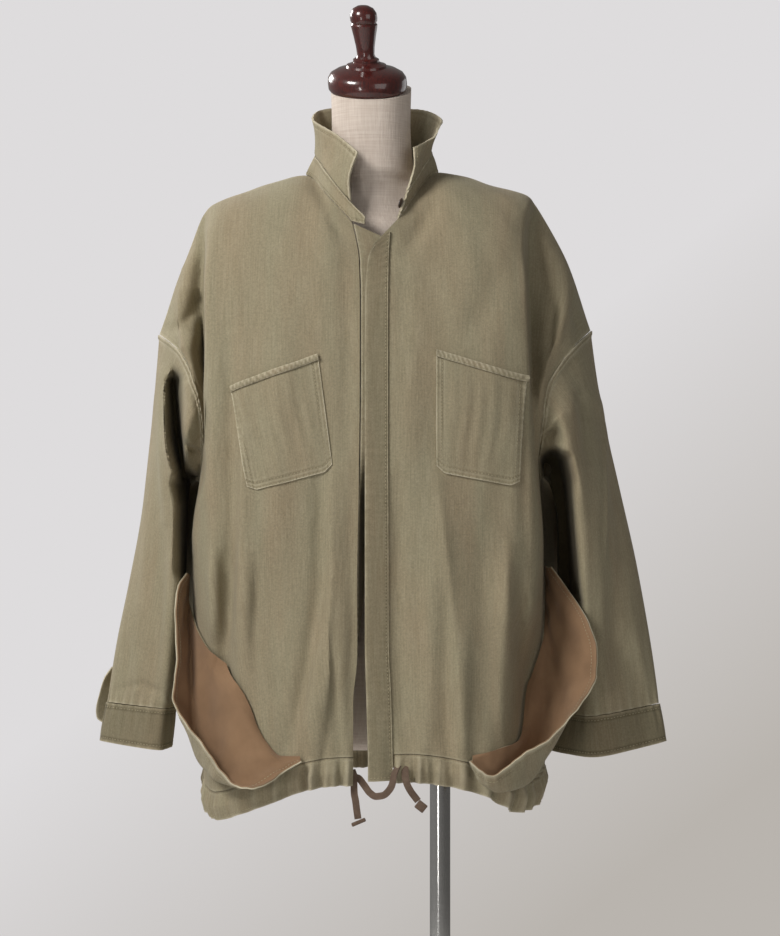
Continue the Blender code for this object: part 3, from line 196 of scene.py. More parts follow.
# Sleeve rings below the armhole: along the sleeve, then the outer, front, inner and back
# corners of the ring, each (across, down, depth)
SLEEVE = {
    "right": (
        (.13, (155.5, 388, 0), (187, 424, -94), (193, 481, -3), (178, 412, 84)),
        (.26, (150, 440, -3), (177, 456, -94), (190, 484, 20), (170, 455, 88)),
        (.42, (144, 505, -8), (177, 508, -84), (186, 520, 34), (162, 510, 86)),
        (.60, (131, 577, -12), (175.5, 580, -80), (185, 590, 26), (155, 583, 76)),
        (.80, (118, 645, -18), (170, 650, -72), (179, 655, 14), (140, 650, 60)),
        (1.0, (109, 702, -22), (162, 708, -60), (172, 706, -5), (127, 702, 44)),
    ),
    "left": (
        (.13, (597, 382, 0), (565, 424, -93), (545, 477, -3), (572, 412, 84)),
        (.26, (606, 432, -4), (571, 457, -93), (549.5, 482, 18), (582, 455, 88)),
        (.42, (618, 485, -8), (579.5, 505, -86), (557, 520, 50), (592, 500, 88)),
        (.60, (636, 565, -14), (584, 572, -82), (559, 580, 48), (602, 575, 80)),
        (.80, (649, 640, -22), (588, 648, -72), (566, 650, 28), (612, 645, 58)),
        (1.0, (658, 703, -34), (594, 716, -52), (566, 712, -6), (624, 708, 14)),
    ),
}
CUFF_FOOT = {
    "right": ((103, 741, -24), (157, 750, -60), (170, 744, -5), (122, 741, 44)),
    "left": ((665, 741, -36), (598, 757, -54), (553, 750, -4), (622, 748, 16)),
}
# Side pouches from the front hem round to the side seam: the line on the body, the sagging
# floor and the free edge, each (across, down, depth)
POUCH = {
    "right": (
        ((300, 757, -170), (301, 761, -178), (301, 761, -184)),
        ((281, 757, -168), (284, 768, -184), (284, 771, -192)),
        ((261, 737, -160), (263, 769, -180), (268, 783, -198)),
        ((245, 706, -153), (244, 768, -168), (252, 788, -200)),
        ((234, 687, -145), (228, 767, -152), (237, 786, -193)),
        ((222, 672, -126), (214, 766, -130), (221, 771, -180)),
        ((211, 654, -108), (202, 752, -104), (203, 745, -158)),
        ((199, 632, -86), (193, 724, -90), (183, 719, -128)),
        ((192.5, 616, -62), (187, 690, -84), (173, 696, -114)),
        ((190, 606, -54), (184, 652, -80), (177, 658, -106)),
        ((188.5, 596, -49), (182.5, 621, -73), (175.5, 614, -98)),
        ((188.5, 584, -45), (184, 594, -66), (178, 588, -88)),
        ((189.5, 574, -42), (188.5, 575, -51), (187, 573, -60)),
    ),
    "left": (
        ((473, 757, -170), (471, 763, -177), (470, 761, -184)),
        ((489, 752, -164), (482, 779, -176), (480, 770, -192)),
        ((504, 747, -154), (497, 790, -172), (492, 776, -198)),
        ((519, 742, -134), (513, 789, -160), (508, 766, -194)),
        ((527, 726, -104), (530, 778, -138), (526, 752, -184)),
        ((532, 700, -80), (548, 750, -112), (545, 742, -168)),
        ((537, 670, -62), (557, 718, -96), (567, 720, -150)),
        ((541, 645, -48), (561, 690, -84), (584, 699, -136)),
        ((544, 625, -36), (562, 665, -74), (596, 676, -124)),
        ((546, 606, -30), (561, 638, -64), (597, 652, -114)),
        ((546, 590, -28), (558, 612, -56), (588, 622, -100)),
        ((546, 577, -28), (553, 587, -48), (568, 590, -68)),
        ((546, 566, -34), (548, 568, -42), (551, 567, -50)),
    ),
}
# Chest pockets: corners top outer, top inner, foot inner, foot outer (across, down)
CHEST_POCKET = {
    "right": ((229, 387), (318, 355), (333, 470), (250, 492)),
    "left": ((523, 377), (436, 351), (436, 472), (518, 487)),
}
# Turn of the button band about its seam: down, degrees from lying flat
BAND_TURN = ((222, 4), (440, 8), (505, 76), (600, 80), (650, 92), (700, 118), (757, 125))
# Sections of the dress form: height, half width, front, back, forward tilt in degrees and how
# far the throat stands before the shoulders
FORM = (
    (.622, .148, -.094, .100, 0, 0), (.632, .158, -.104, .110, 0, 0),
    (.68, .168, -.112, .122, 0, 0), (.74, .170, -.113, .124, 0, 0),
    (.83, .150, -.100, .105, 0, 0), (.93, .124, -.090, .088, 0, 0),
    (1.02, .138, -.103, .094, 0, 0), (1.09, .155, -.112, .100, 0, 0),
    (1.16, .168, -.098, .098, 0, 0), (1.21, .180, -.078, .086, 0, .006),
    (1.25, .188, -.058, .070, 0, .012), (1.277, .191, -.042, .054, 0, .018),
    (1.296, .184, -.031, .043, 0, .022), (1.308, .163, -.027, .038, 0, .024),
    (1.317, .134, -.023, .036, 0, .028), (1.325, .101, -.019, .035, 0, .033),
    (1.333, .072, -.017, .036, 1, .037), (1.345, .057, -.034, .038, 3, .022),
    (1.366, .0525, -.052, .040, 8, .004), (1.402, .0505, -.060, .038, 15, 0),
    (1.447, .0515, -.064, .036, 21, 0),
)
# The wooden cap and its knob: radius, height above the neck's rim, along the tilted axis
CAP = ((0.0, 0), (.0475, 0), (.0496, .003), (.0500, .010), (.0494, .0170), (.0460, .0225),
       (.0380, .0272), (.0262, .0305), (.0250, .0332), (.0182, .0355), (.0164, .0375),
       (.0164, .0402), (.0126, .0425), (.0110, .0465), (.0118, .0560), (.0140, .0690),
       (.0162, .0800), (.0168, .0840), (.0152, .0862), (.0168, .0888), (.0172, .0930),
       (.0164, .0985), (.0130, .1040), (.0070, .1073), (0.0, .1082))
CAP_SHIFT, CAP_LEAN = .0040, .055      # the cap sits a little to the right and leans there
# The stand's turned pieces: radius, height
BASE_PLATE = ((0, 0), (.1745, 0), (.175, .0006), (.175, .0080), (.1741, .0098), (.172, .011),
              (0, .011))
POLE_SOCKET = ((0, .0113), (.0238, .0113), (.024, .0116), (.024, .0385), (.0234, .0401),
               (.022, .041), (0, .041))
POLE = ((0, .0413), (.013, .0413), (.013, .6235), (0, .6235))

NECK_BUTTON = (400.7, 203, -80)
BUTTON_FACE = (-.93, .22, .30)         # the way that the button's face looks
# The button's lathe profile: radius, height
BUTTON = ((0, -.0012), (.0052, -.0012), (.0063, -.0007), (.0065, 0), (.0063, .0007),
          (.0056, .0012), (.0047, .0011), (.0040, .0005), (.0030, .0003), (0, .0003))
# The drawstring's three lengths: (across, down, depth, roll of the tape in degrees)
TAPES = {
    "left": ((352, 770, -161, 0), (354, 777, -161, 0), (354, 785, -163, 0),
             (354.2, 793, -165, 8), (355.6, 801, -167, 10), (356.6, 809, -169, 6),
             (358, 819, -170, 4)),
    "middle": ((352, 777, -159.3, 0), (358, 778, -159.3, 0), (364, 785, -161, 8),
               (370, 793, -166, 22), (376, 796.5, -171, 20), (383, 795.5, -175, 10),
               (388.5, 791, -177.5, 10), (392, 785, -179, 20), (393.8, 776, -178, 35),
               (396, 770, -173.5, 45), (398.2, 766, -170, 50)),
    "right": ((404.5, 765, -167.3, 0), (405, 770, -170.5, 0), (405.3, 777, -175, 0),
              (407, 784, -180, 0), (410.5, 791, -179.5, 0), (414.5, 796.5, -177, 0),
              (418, 801, -176, 0)),
}
# Folded ends of the two free tapes: side, middle (across, down, depth), width, height, turn
TAPE_ENDS = (("left", (358.6, 822.3, -170), .0180, .0046, -23),
             ("right", (421.0, 806.5, -176), .0125, .0110, 38))
# The lap of the right cuff that stands out behind: down, free edge across, and the depth of
# its free edge and of the edge that the cuff holds
CUFF_LAP = ((667, 112), (678, 104.5), (692, 100), (711, 96), (718, 97), (723, 104))
LAP_HELD = 113.4           # the held edge lies no further to the left than this
LAP_DEPTHS = (20.0, 33.0)
# The placket's seam: down, across, and the lines of its top, its straight part and its foot
PLACKET_SEAM = ((220, 390), (300, 388), (640, 388.5), (700, 391), (781, 393))
PLACKET_TOP, PLACKET_STRAIGHT, PLACKET_FOOT = 246, 276, 781.5
FRONT_FOOT = 753           # below this the placket hangs free of the front
BAND_TOP, BAND_FOOT = 224, 756

# Creases in the elevation: points (across, down) along the crease, half width in squares and
# height in mm (negative is a trough), on what faces the front
CREASES = {
    "front_right": (
        (((208, 214), (204, 240), (201, 268), (199, 290), (194, 309), (186, 321), (172, 331)),
         6, -11),
        (((191, 332), (188, 343), (186, 354)), 6, 6),
        (((200, 300), (201.5, 345), (204, 400), (205, 440)), 6, -24),
        (((190, 262), (188, 285), (181, 302)), 7, 4),
        (((243, 400), (243, 520), (246, 600)), 7, 1.6),
        (((228, 330), (231, 520), (228, 620), (222, 668)), 8, -7),
        (((213, 380), (213, 560), (216, 640)), 4, 2.5),
        (((314, 186), (328, 212), (345, 240)), 7, -4),
        (((344, 262), (348, 340), (346, 450)), 8, -2.6),
        (((276, 520), (270, 640), (276, 740)), 13, -2.2),
        (((320, 480), (319, 590), (307, 670), (290, 745)), 8, -6),
        (((352, 470), (349, 640), (344, 740)), 6, -1.6),
        (((258, 560), (254, 640), (262, 735)), 6, -2.6),
        (((300, 300), (316, 330), (330, 348)), 8, -1.2),
        (((232, 236), (236, 270), (233, 330)), 9, 1.2),
        (((318, 690), (313, 730), (312, 760)), 5, 3),
        (((334, 640), (336, 700), (340, 752)), 4, -2.5),
    ),
    "front_left": (
        (((556, 300), (553, 325), (548, 352)), 6, -7),
        (((562, 296), (560, 318), (557, 340)), 5, 5),
        (((573, 312), (579, 330), (582, 342)), 3.5, -2.2),
        (((505, 262), (490, 300), (470, 330)), 14, -2.6),
        (((535, 222), (540, 262), (546, 300)), 6, -3),
        (((512, 380), (514, 480), (508, 600)), 8, 1.6),
        (((528, 400), (528, 470), (530, 560)), 4, 2),
        (((404, 250), (403, 320), (405, 420)), 8, -1.4),
        (((399, 480), (398, 620), (403, 740)), 8, -4.4),
        (((436, 196), (424, 222), (408, 250)), 9, -6),
        (((488, 500), (482, 620), (490, 735)), 10, -2),
        (((523, 600), (521, 660), (525, 730)), 6, -11),
        (((466, 210), (470, 250), (468, 300)), 12, 1.2),
    ),
    "sleeve_right": (
        (((184, 374), (189, 395), (194, 425)), 5, 4),
        (((176, 436), (190, 448), (205, 457)), 3, -5),
        (((163, 372), (163, 450), (166, 520)), 5, 4),
        (((150, 480), (147, 560), (140, 640)), 7, 3.2),
        (((160, 540), (158, 620), (150, 690)), 7, -4),
        (((172, 560), (168, 640), (164, 700)), 5, 3),
        (((128, 640), (126, 670), (122, 698)), 5, -3),
        (((140, 655), (138, 680), (136, 700)), 4, 2.4),
        (((120, 690), (140, 684), (165, 694)), 4, -2.4),
        (((152, 420), (146, 470), (140, 520)), 6, -2),
    ),
    "sleeve_left": (
        (((581, 396), (584, 430), (587, 458)), 6, -4),
        (((546, 438), (556, 431)), 4, -7),
        (((605, 416), (605, 470), (604, 560)), 2.4, 2.4),
        (((614, 430), (618, 500), (626, 580)), 7, -3),
        (((596, 470), (597, 540), (603, 640)), 7, 3),
        (((612, 600), (616, 650), (622, 700)), 8, -3.4),
        (((634, 620), (640, 660), (645, 698)), 6, 3),
        (((598, 640), (604, 680), (612, 708)), 6, 3),
        (((590, 396), (600, 406), (608, 420)), 6, 2.4),
        (((626, 640), (618, 680), (606, 706)), 5, -2.4),
    ),
}
# Folds with a keen edge, as in CREASES, but the height falls straight off the crest. A pair
# of half widths gives the left and the right side of the line, seen down it
KEEN = {
    "front_right": ((((209.5, 232), (209, 300), (208.5, 380), (207.5, 440)), 4, 5),
                    (((211, 560), (213, 620), (216, 650)), 5, 3),
                    (((205, 486), (198, 516), (195, 549)), 3, 4),
                    (((331.4, 480), (331.4, 600), (328.8, 652), (319, 740)), (4, 18), 7.9),
                    (((328.8, 596), (316, 672), (300, 752)), (4, 15), 7.9),
                    (((244.5, 430), (243, 578), (239, 636)), (4, 26), 6)),
    "front_left": ((((521, 240), (522, 301), (525, 376), (527, 430)), 4, 5),
                   (((438, 480), (451, 592), (464, 742)), (20, 18), 15),
                   (((508, 545), (507, 596), (511.6, 750)), (12, 7), 8),
                   (((534, 400), (536, 510), (536, 580)), (4, 9), 3)),
    "sleeve_right": ((((167, 376), (168.5, 433), (172, 474)), 4, 4),
                     (((174, 540), (173, 600), (169, 650), (165, 700)), 5, 4)),
    "sleeve_left": ((((543, 446), (552, 442.5), (561, 444), (569, 456)), 3, 5),
                    (((544, 431), (553, 423), (561.5, 415)), 3, 5),
                    (((561.5, 416), (567, 440), (571, 460)), 3, 3),
                    (((572, 466), (579, 499), (583, 559), (588, 613)), 5, 6)),
}
# Hollows behind the sleeves' folds at the underarm: line, half widths on its left and right
# (a sharp rim, or a slope where the right one is its own) and the floor's depth
HOLLOWS = {
    "sleeve_right": ((((171.5, 380), (172.5, 433), (175, 452), (179, 478)), (4, 7.5), 2),
                     (((187, 486), (191, 504), (191, 570)), (14, 14), 22)),
    "sleeve_left": ((((556, 463), (560, 482), (561.5, 505), (566, 560), (568, 600)),
                     (14, 14), 24),),
}
# Creases on what faces the back, as in CREASES
BACK_CREASES = {
    "back": (
        (((370, 196), (369, 300), (372, 420)), 9, -3),
        (((322, 205), (316, 300), (322, 440)), 14, 3),
        (((420, 205), (430, 310), (424, 450)), 15, 3),
        (((274, 225), (262, 330), (268, 460)), 12, -4),
        (((470, 225), (480, 330), (476, 470)), 12, -4),
        (((240, 300), (233, 420), (240, 560)), 9, 4),
        (((505, 300), (512, 420), (504, 560)), 9, 4),
        (((300, 470), (296, 600), (290, 730)), 12, 5),
        (((335, 520), (338, 620), (332, 735)), 11, -5),
        (((366, 480), (362, 620), (368, 738)), 12, 5),
        (((398, 500), (404, 620), (400, 735)), 10, -6),
        (((436, 470), (440, 600), (446, 735)), 12, 5),
        (((474, 520), (480, 620), (478, 740)), 10, -5),
        (((262, 500), (258, 620), (262, 745)), 10, -5),
        (((236, 560), (232, 640), (238, 745)), 9, 5),
        (((510, 560), (514, 650), (508, 745)), 9, 5),
    ),
    "sleeve_right": (
        (((160, 392), (156, 450), (150, 520)), 6, -4),
        (((178, 420), (174, 480), (170, 560)), 5, 3),
        (((146, 520), (138, 600), (126, 690)), 7, 3),
        (((165, 560), (156, 640), (146, 698)), 6, -4),
        (((132, 600), (124, 650), (118, 698)), 5, -2),
    ),
    "sleeve_left": (
        (((596, 390), (604, 450), (612, 530)), 7, -4),
        (((574, 420), (580, 480), (590, 560)), 6, 3),
        (((622, 520), (632, 600), (640, 690)), 7, 3),
        (((602, 560), (612, 640), (622, 700)), 7, -4),
        (((636, 600), (644, 650), (650, 698)), 5, -2),
    ),
}


def smooth(knots, values, at):
    """Monotone cubic through values, one per knot, read at `at`. A second axis of values is as
    long as `at`, and each reading then uses its own column of values."""
    knots = np.asarray(knots, float)
    values = np.asarray(values, float)
    at = np.clip(np.asarray(at, float), knots[0], knots[-1])
    steps = np.diff(knots)
    lead = (-1,) + (1,) * (values.ndim - 1)
    rise = np.diff(values, axis=0) / steps.reshape(lead)
    slope = np.empty_like(values)
    slope[0], slope[-1] = rise[0], rise[-1]
    a, b = steps[1:].reshape(lead), steps[:-1].reshape(lead)
    before, after = rise[:-1], rise[1:]
    same = before * after > 0
    safe_before, safe_after = np.where(same, before, 1), np.where(same, after, 1)
    mean = 3 * (a + b) / ((2 * a + b) / safe_before + (a + 2 * b) / safe_after)
    slope[1:-1] = np.where(same, mean, 0)
    i = np.clip(np.searchsorted(knots, at, side="right") - 1, 0, len(knots) - 2)
    h = steps[i]
    t = (at - knots[i]) / h
    own = (np.arange(len(at)),) if values.ndim == 2 else ()
    here, after = (i, *own), (i + 1, *own)
    t2, t3 = t * t, t * t * t
    return ((2 * t3 - 3 * t2 + 1) * values[here] + (t3 - 2 * t2 + t) * h * slope[here]
            + (3 * t2 - 2 * t3) * values[after] + (t3 - t2) * h * slope[after])


def curve(rows, at):
    """Reads rows of (place, value, value ...) as smooth curves of place."""
    rows = np.asarray(rows, float)
    return np.stack([smooth(rows[:, 0], rows[:, k], at) for k in range(1, rows.shape[1])], -1)


def place(elevation):
    """Points of the front elevation (across, down, depth) as metres."""
    a = np.asarray(elevation, float)
    y = a[..., 2] / 1000
    size = GRID * (1 + y / EYE_FAR)
    return np.stack([EYE_SIDE - POLE_SIDE + (a[..., 0] - AXIS_ACROSS) * size, y,
                     EYE_UP - (a[..., 1] - LEVEL_DOWN) * size], -1)


def seen_at(points):
    """Where placed points show in the front elevation, as across and down."""
    size = GRID * (1 + points[..., 1] / EYE_FAR)
    return (AXIS_ACROSS + (points[..., 0] - EYE_SIDE + POLE_SIDE) / size,
            LEVEL_DOWN - (points[..., 2] - EYE_UP) / size)


def fade(t):
    """A soft step from 0 at 0 to 1 at 1."""
    t = np.clip(t, 0, 1)
    return t * t * (3 - 2 * t)


def unit(v):
    """Vectors scaled to length 1."""
    return v / np.maximum(np.linalg.norm(v, axis=-1, keepdims=True), 1e-12)


def beside_line(line, across, down):
    """Distance to a line of the front elevation, the share of the line's length there, and
    the side: above 0 to the left of a line that runs down."""
    near, share = np.full(across.shape, 1e9), np.zeros(across.shape)
    beside = np.zeros(across.shape)
    line = np.array(line, float)
    spans = np.linalg.norm(np.diff(line, axis=0), axis=1)
    done = 0.0
    for (a0, d0), (a1, d1), span in zip(line, line[1:], spans):
        t = ((across - a0) * (a1 - a0) + (down - d0) * (d1 - d0)) / span ** 2
        t = np.clip(t, 0, 1)
        far = np.hypot(across - a0 - (a1 - a0) * t, down - d0 - (d1 - d0) * t)
        nearer = far < near
        near = np.where(nearer, far, near)
        share = np.where(nearer, (done + span * t) / spans.sum(), share)
        turn = (a1 - a0) * (down - d0) - (d1 - d0) * (across - a0)
        beside = np.where(nearer, turn, beside)
        done += span
    return near, share, beside


def read_guides(guides, v):
    """Elevation of every guide line at v, 0 at the top, UNDERARM at the underarm, 1 below."""
    lines = []
    t = np.clip(v / UNDERARM, 0, 1)
    for name, (_, level, rows) in guides.items():
        top, foot = rows[0][0], rows[-1][0]
        sunk = t + SAG[name] * t * (1 - t)
        down = np.where(v < UNDERARM, top + (level - top) * sunk,
                        level + (foot - level) * (v - UNDERARM) / (1 - UNDERARM))
        across_depth = curve(rows, down)
        lines.append(np.stack([across_depth[:, 0], down, across_depth[:, 1]], -1))
    return np.array(lines)


def across_guides(knots, lines, u):
    """Smooth points across the guide lines at u."""
    return np.stack([smooth(knots, lines[:, :, k], u) for k in range(3)], -1)


def fold_lift(side, elevation):
    """Millimetres that the largest folds lift each point of a front."""
    lift = np.zeros(len(elevation))
    for fold_side, a0, d0, a1, d1, half, height in FOLDS:
        if fold_side == side:
            t = (elevation[:, 1] - d0) / (d1 - d0)
            off = (elevation[:, 0] - (a0 + (a1 - a0) * t)) / half
            run = fade(t * 2.2 + .1) * fade((1 - t) * 3 + .6)
            lift += height * np.exp(-off * off) * run
    return lift


def front(side, u, v):
    """Elevation of a front at u, 0 at its edge and 1 at the seam, and v from top to foot."""
    guides = FRONT_RIGHT if side == "right" else FRONT_LEFT
    knots = [g[0] for g in guides.values()]
    at = across_guides(knots, read_guides(guides, v), u)
    inside = fade(v / .12) * fade((1 - u) / .2)
    at[:, 2] -= fold_lift(side, at) * inside
    return at


def back(w, v):
    """Elevation of the back at w, -1 at the right seam, 0 at the centre, 1 at the left."""
    guide_lines, foot = [], float(CENTRE_BACK[-1][0])
    for sign, guides in ((-1, FRONT_RIGHT), (1, FRONT_LEFT)):
        names = [n for n in guides if n not in ("edge", "throat")]
        read = read_guides({n: guides[n] for n in names}, v)
        plane = np.where(v < UNDERARM, 5 - 13 * fade(v / UNDERARM), read[-1][:, 2])
        seam_foot = guides["seam"][2][-1][0]
        for name, line in zip(names, read):
            line = line.copy()
            line[:, 2] = plane + BACK_DEPTH * (plane - line[:, 2])
            at, level, rows = guides[name]
            target = seam_foot + (foot - seam_foot) * (1 - at) / (1 - AT_NECK)
            stretch = (target - level) / (rows[-1][0] - level)
            line[:, 1] = np.where(v > UNDERARM, level + (line[:, 1] - level) * stretch,
                                  line[:, 1])
            flare = BACK_FLARE.get(name, 0) * fade((v - .43) / .08) * fade((1 - v) / .35)
            line[:, 0] += sign * flare
            guide_lines.append((sign * at, line))
    top = CENTRE_BACK[0][0]
    t = np.clip(v / UNDERARM, 0, 1)
    sunk = t + .4 * t * (1 - t)
    down = np.where(v < UNDERARM, top + (UNDERARM_DOWN - top) * sunk,
                    UNDERARM_DOWN + (foot - UNDERARM_DOWN) * (v - UNDERARM) / (1 - UNDERARM))
    centre = np.stack([np.full_like(down, MIDDLE), down, curve(CENTRE_BACK, down)[:, 0]], -1)
    guide_lines.append((0.0, centre))
    guide_lines.sort(key=lambda item: item[0])
    knots = [k for k, _ in guide_lines]
    at = across_guides(knots, np.array([line for _, line in guide_lines]), w)
    # the shoulder line is the fronts' own
    for side, sign in (("right", -1), ("left", 1)):
        mine = (v < UNDERARM) & (sign * w >= AT_NECK)
        if mine.any():
            own = front(side, np.abs(w[mine]), np.zeros(mine.sum()))
            raw = across_guides(knots, back_top(mine.sum()), w[mine])
            at[mine] += (own - raw) * ((1 - v[mine] / UNDERARM) ** 2)[:, None]
    return at


def back_top(count):
    """The back's guide lines all read at the top edge, for `count` points."""
    top = [(0.0, (MIDDLE, CENTRE_BACK[0][0], CENTRE_BACK[0][1]))]
    for sign, guides in ((-1, FRONT_RIGHT), (1, FRONT_LEFT)):
        top += [(sign * u, (rows[0][1], rows[0][0], 5.0))
                for name, (u, _, rows) in guides.items() if name not in ("edge", "throat")]
    top.sort(key=lambda item: item[0])
    return np.repeat(np.array([p for _, p in top])[:, None, :], count, 1)


def grid_of(function, us, vs):
    """The function's elevation on a grid, as (len(us), len(vs), 3)."""
    u, v = np.meshgrid(us, vs, indexing="ij")
    return function(u.ravel(), v.ravel()).reshape(len(us), len(vs), 3)


def normals_of(points, wrap=False):
    """Normals of a grid. A wrapped grid's last column is its first."""
    if wrap:
        ring = points[:-1]
        du = np.roll(ring, -1, 0) - np.roll(ring, 1, 0)
        du = np.concatenate([du, du[:1]])
    else:
        du = np.gradient(points, axis=0)
    return unit(np.cross(np.gradient(points, axis=1), du))


def pulled(points, gap=GAP):
    """A grid drawn in at its four edges, to leave the seam gap."""
    p = points.copy()
    for edge, inner in ((0, 1), (-1, -2)):
        p[edge] += unit(points[inner] - points[edge]) * gap * .75
        p[:, edge] += unit(points[:, inner] - points[:, edge]) * gap * .75
    return p


class Cloth:
    """A piece of cloth in the making: a grid of points, its outward normals, its wear and the
    painted shade that darkens it.
    """

    def __init__(self, name, points, normals, wall, wrap=False):
        self.name, self.wall, self.wrap = name, wall, wrap
        self.points, self.normals = np.array(points), np.array(normals)
        self.wear_and_shade = np.zeros(self.points.shape[:2])
        self.rows = []             # rows of stitching: line, normals

    def lift(self, height):
        self.points = self.points + self.normals * height[..., None]

    def from_edge(self, edge):
        """Metres along an edge and away from it, for every point of the grid."""
        axis = 0 if edge in ("first", "last") else 1
        p = self.points if axis == 0 else self.points.transpose(1, 0, 2)
        p = p[::-1] if edge in ("last", "foot") else p
        steps = np.linalg.norm(np.diff(p, axis=0), axis=-1)
        away = np.concatenate([np.zeros((1, p.shape[1])), np.cumsum(steps, 0)])
        run = np.linalg.norm(np.diff(p[0], axis=0), axis=-1)
        along = np.tile(np.concatenate([[0], np.cumsum(run)]), (p.shape[0], 1))
        if edge in ("last", "foot"):
            away, along = away[::-1], along[::-1]
        return (along, away) if axis == 0 else (along.T, away.T)

    def crease(self, rows, facing=-1, held=(), reach=.014, power=2):
        """Lifts the grid by creases on what faces the front (-1) or the back (1), fading out
        towards the edges that are sewn to other pieces. Power 1 gives a keen crest and 2 a
        soft one. A fold with two half widths falls off faster on its steep side: the first is
        the one to the left, seen down the line. What is 8 mm or deeper goes straight back."""
        across, down = seen_at(self.points)
        look = fade(self.normals[..., 1] * facing * 3)
        for edge in held:
            look = look * fade(self.from_edge(edge)[1] / reach)
        low, deep = np.zeros(across.shape), np.zeros(across.shape)
        for line, half, height in rows:
            near, share, beside = beside_line(line, across, down)
            if isinstance(half, tuple):
                half = np.where(beside > 0, half[0], half[1])
            if power == 1:
                near = np.hypot(near, 1.5) - 1.5
            ends = .45 + .55 * fade(np.minimum(share, 1 - share) * 4)
            part = deep if abs(height) >= 8 else low
            part += height * .001 * ends * np.exp(-(near / half) ** power)
        self.lift(low * look)
        self.points[..., 1] += deep * look * facing

    def sink(self, rows, reach=.006):
        """Hollows behind folds: what faces the front goes back to a floor at a depth in mm, and
        the floor is painted dark as shade.
        """
        across, down = seen_at(self.points)
        look = fade(self.normals[..., 1] * -3 + .7) * fade(self.from_edge("top")[1] / reach)
        for line, half, floor in rows:
            near, _, beside = beside_line(line, across, down)
            rim = np.exp(-(near / half[0]) ** 6)
            slope = np.exp(-(near / half[1]) ** (6 if half[0] == half[1] else 2))
            share = look * np.where(beside > 0, rim, slope)
            self.points[..., 1] += np.maximum(floor * .001 - self.points[..., 1], 0) * share
            # painted shade on the hollow's floor
            self.wear_and_shade -= 1.1 * share

    def ripple(self, size, height, turn=0.0):
        """Low uneven waves all over, `size` metres long."""
        x, z = self.points[..., 0], self.points[..., 2] * .45
        y = self.points[..., 1]
        c, s = math.cos(turn), math.sin(turn)
        p, q = (x + y) * c + z * s, z * c - (x - y) * s
        k = 2 * math.pi / size
        wave = (np.sin(k * p + 1.3 * np.sin(k * .43 * q)) * np.sin(.71 * k * q + p * 9)
                + .6 * np.sin(1.7 * k * p + 2.1 * np.sin(k * .37 * q + 1)))
        self.lift(wave * height * .6)

    def pucker(self, edge, wave, height, reach, start=0.0, shift=0.0):
        """Short ripples across a seam, `start` metres away from an edge."""
        along, away = self.from_edge(edge)
        off = np.abs(away - start)
        phase = along / wave + .55 * np.sin(along / (wave * 2.7) + shift) + shift
        size = .65 + .35 * np.sin(along / (wave * 4.3) + 2 * shift)
        wavy = np.sin(2 * math.pi * phase) * size
        self.lift(height * wavy * np.exp(-off / reach))
        self.wear_and_shade += .30 * np.clip(wavy, 0, 1) * np.exp(-off / reach)

    def welt(self, edge, width, height):
        """A strip along an edge that stands up over its seam allowance."""
        _, away = self.from_edge(edge)
        self.lift(height * fade((width - away) / .0022))

    def groove(self, edge, at, depth, half=.0016):
        """A line pulled in by stitching, `at` metres from an edge, and painted dark along it as
        shade.
        """
        _, away = self.from_edge(edge)
        line = np.exp(-((away - at) / half) ** 2)
        self.lift(-depth * line)
        # painted shade: the groove's line is darkened in colour
        self.wear_and_shade -= .5 * line

    def rub(self, edge, amount=1.0, reach=.0012, at=0.0):
        """Abrades a line along an edge."""
        along, away = self.from_edge(edge)
        patchy = .78 + .22 * np.sin(along / .011 + 1.7 * np.sin(along / .029))
        self.wear_and_shade += amount * patchy * np.exp(-np.abs(away - at) / reach)

    def stitch(self, edge, *distances, thread=1.0, side=1):
        """Rows of topstitching at distances from an edge, outside (1) or inside (-1)."""
        _, away = self.from_edge(edge)
        if edge in ("first", "last"):
            far, p, n = away.T, self.points.transpose(1, 0, 2), self.normals.transpose(1, 0, 2)
        else:
            far, p, n = away, self.points, self.normals
        if edge in ("last", "foot"):
            far, p, n = far[:, ::-1], p[:, ::-1], n[:, ::-1]
        for distance in distances:
            line, out = [], []
            for k in range(len(p)):
                line.append([np.interp(distance, far[k], p[k, :, c]) for c in range(3)])
                out.append([np.interp(distance, far[k], n[k, :, c]) for c in range(3)])
            line, out = np.array(line), unit(np.array(out)) * side
            self.rows.append((line + out * self.wall / 2, out, thread))

    def make(self, finish):
        """The closed wall of cloth, with its cut as UVs in metres."""
        nu, nv = self.points.shape[:2]
        bm = bmesh.new()
        bm.loops.layers.uv.new("cut")
        bmesh.ops.create_grid(bm, x_segments=nu - 1, y_segments=nv - 1, size=1, calc_uvs=True)
        spot = bm.verts.layers.int.new("spot")
        skin = bm.verts.layers.int.new("skin")
        for vert in bm.verts:
            i = round((vert.co.x + 1) / 2 * (nu - 1))
            k = round((1 - vert.co.y) / 2 * (nv - 1))
            vert[spot] = i * nv + k
            vert.co = self.points[i, k]
        if self.wrap:
            bmesh.ops.remove_doubles(bm, verts=bm.verts, dist=1e-7)
        outer = bmesh.ops.extrude_face_region(bm, geom=bm.faces[:])["geom"]
        for vert in outer:
            if isinstance(vert, bmesh.types.BMVert):
                vert[skin] = 1
        mesh = mesh_of(bm, self.name + "_cloth")
        count = len(mesh.vertices)
        spots, skins = np.zeros(count, np.int32), np.zeros(count, np.int32)
        mesh.attributes["spot"].data.foreach_get("value", spots)
        mesh.attributes["skin"].data.foreach_get("value", skins)
        side = (skins * 2 - 1)[:, None] * self.wall / 2
        co = self.points.reshape(-1, 3)[spots] + self.normals.reshape(-1, 3)[spots] * side
        mesh.vertices.foreach_set("co", co.astype(np.float32).ravel())
        mesh.attributes.remove(mesh.attributes["spot"])
        mesh.attributes.remove(mesh.attributes["skin"])
        wear_and_shade_values = mesh.attributes.new("wear_and_shade", "FLOAT", "POINT")
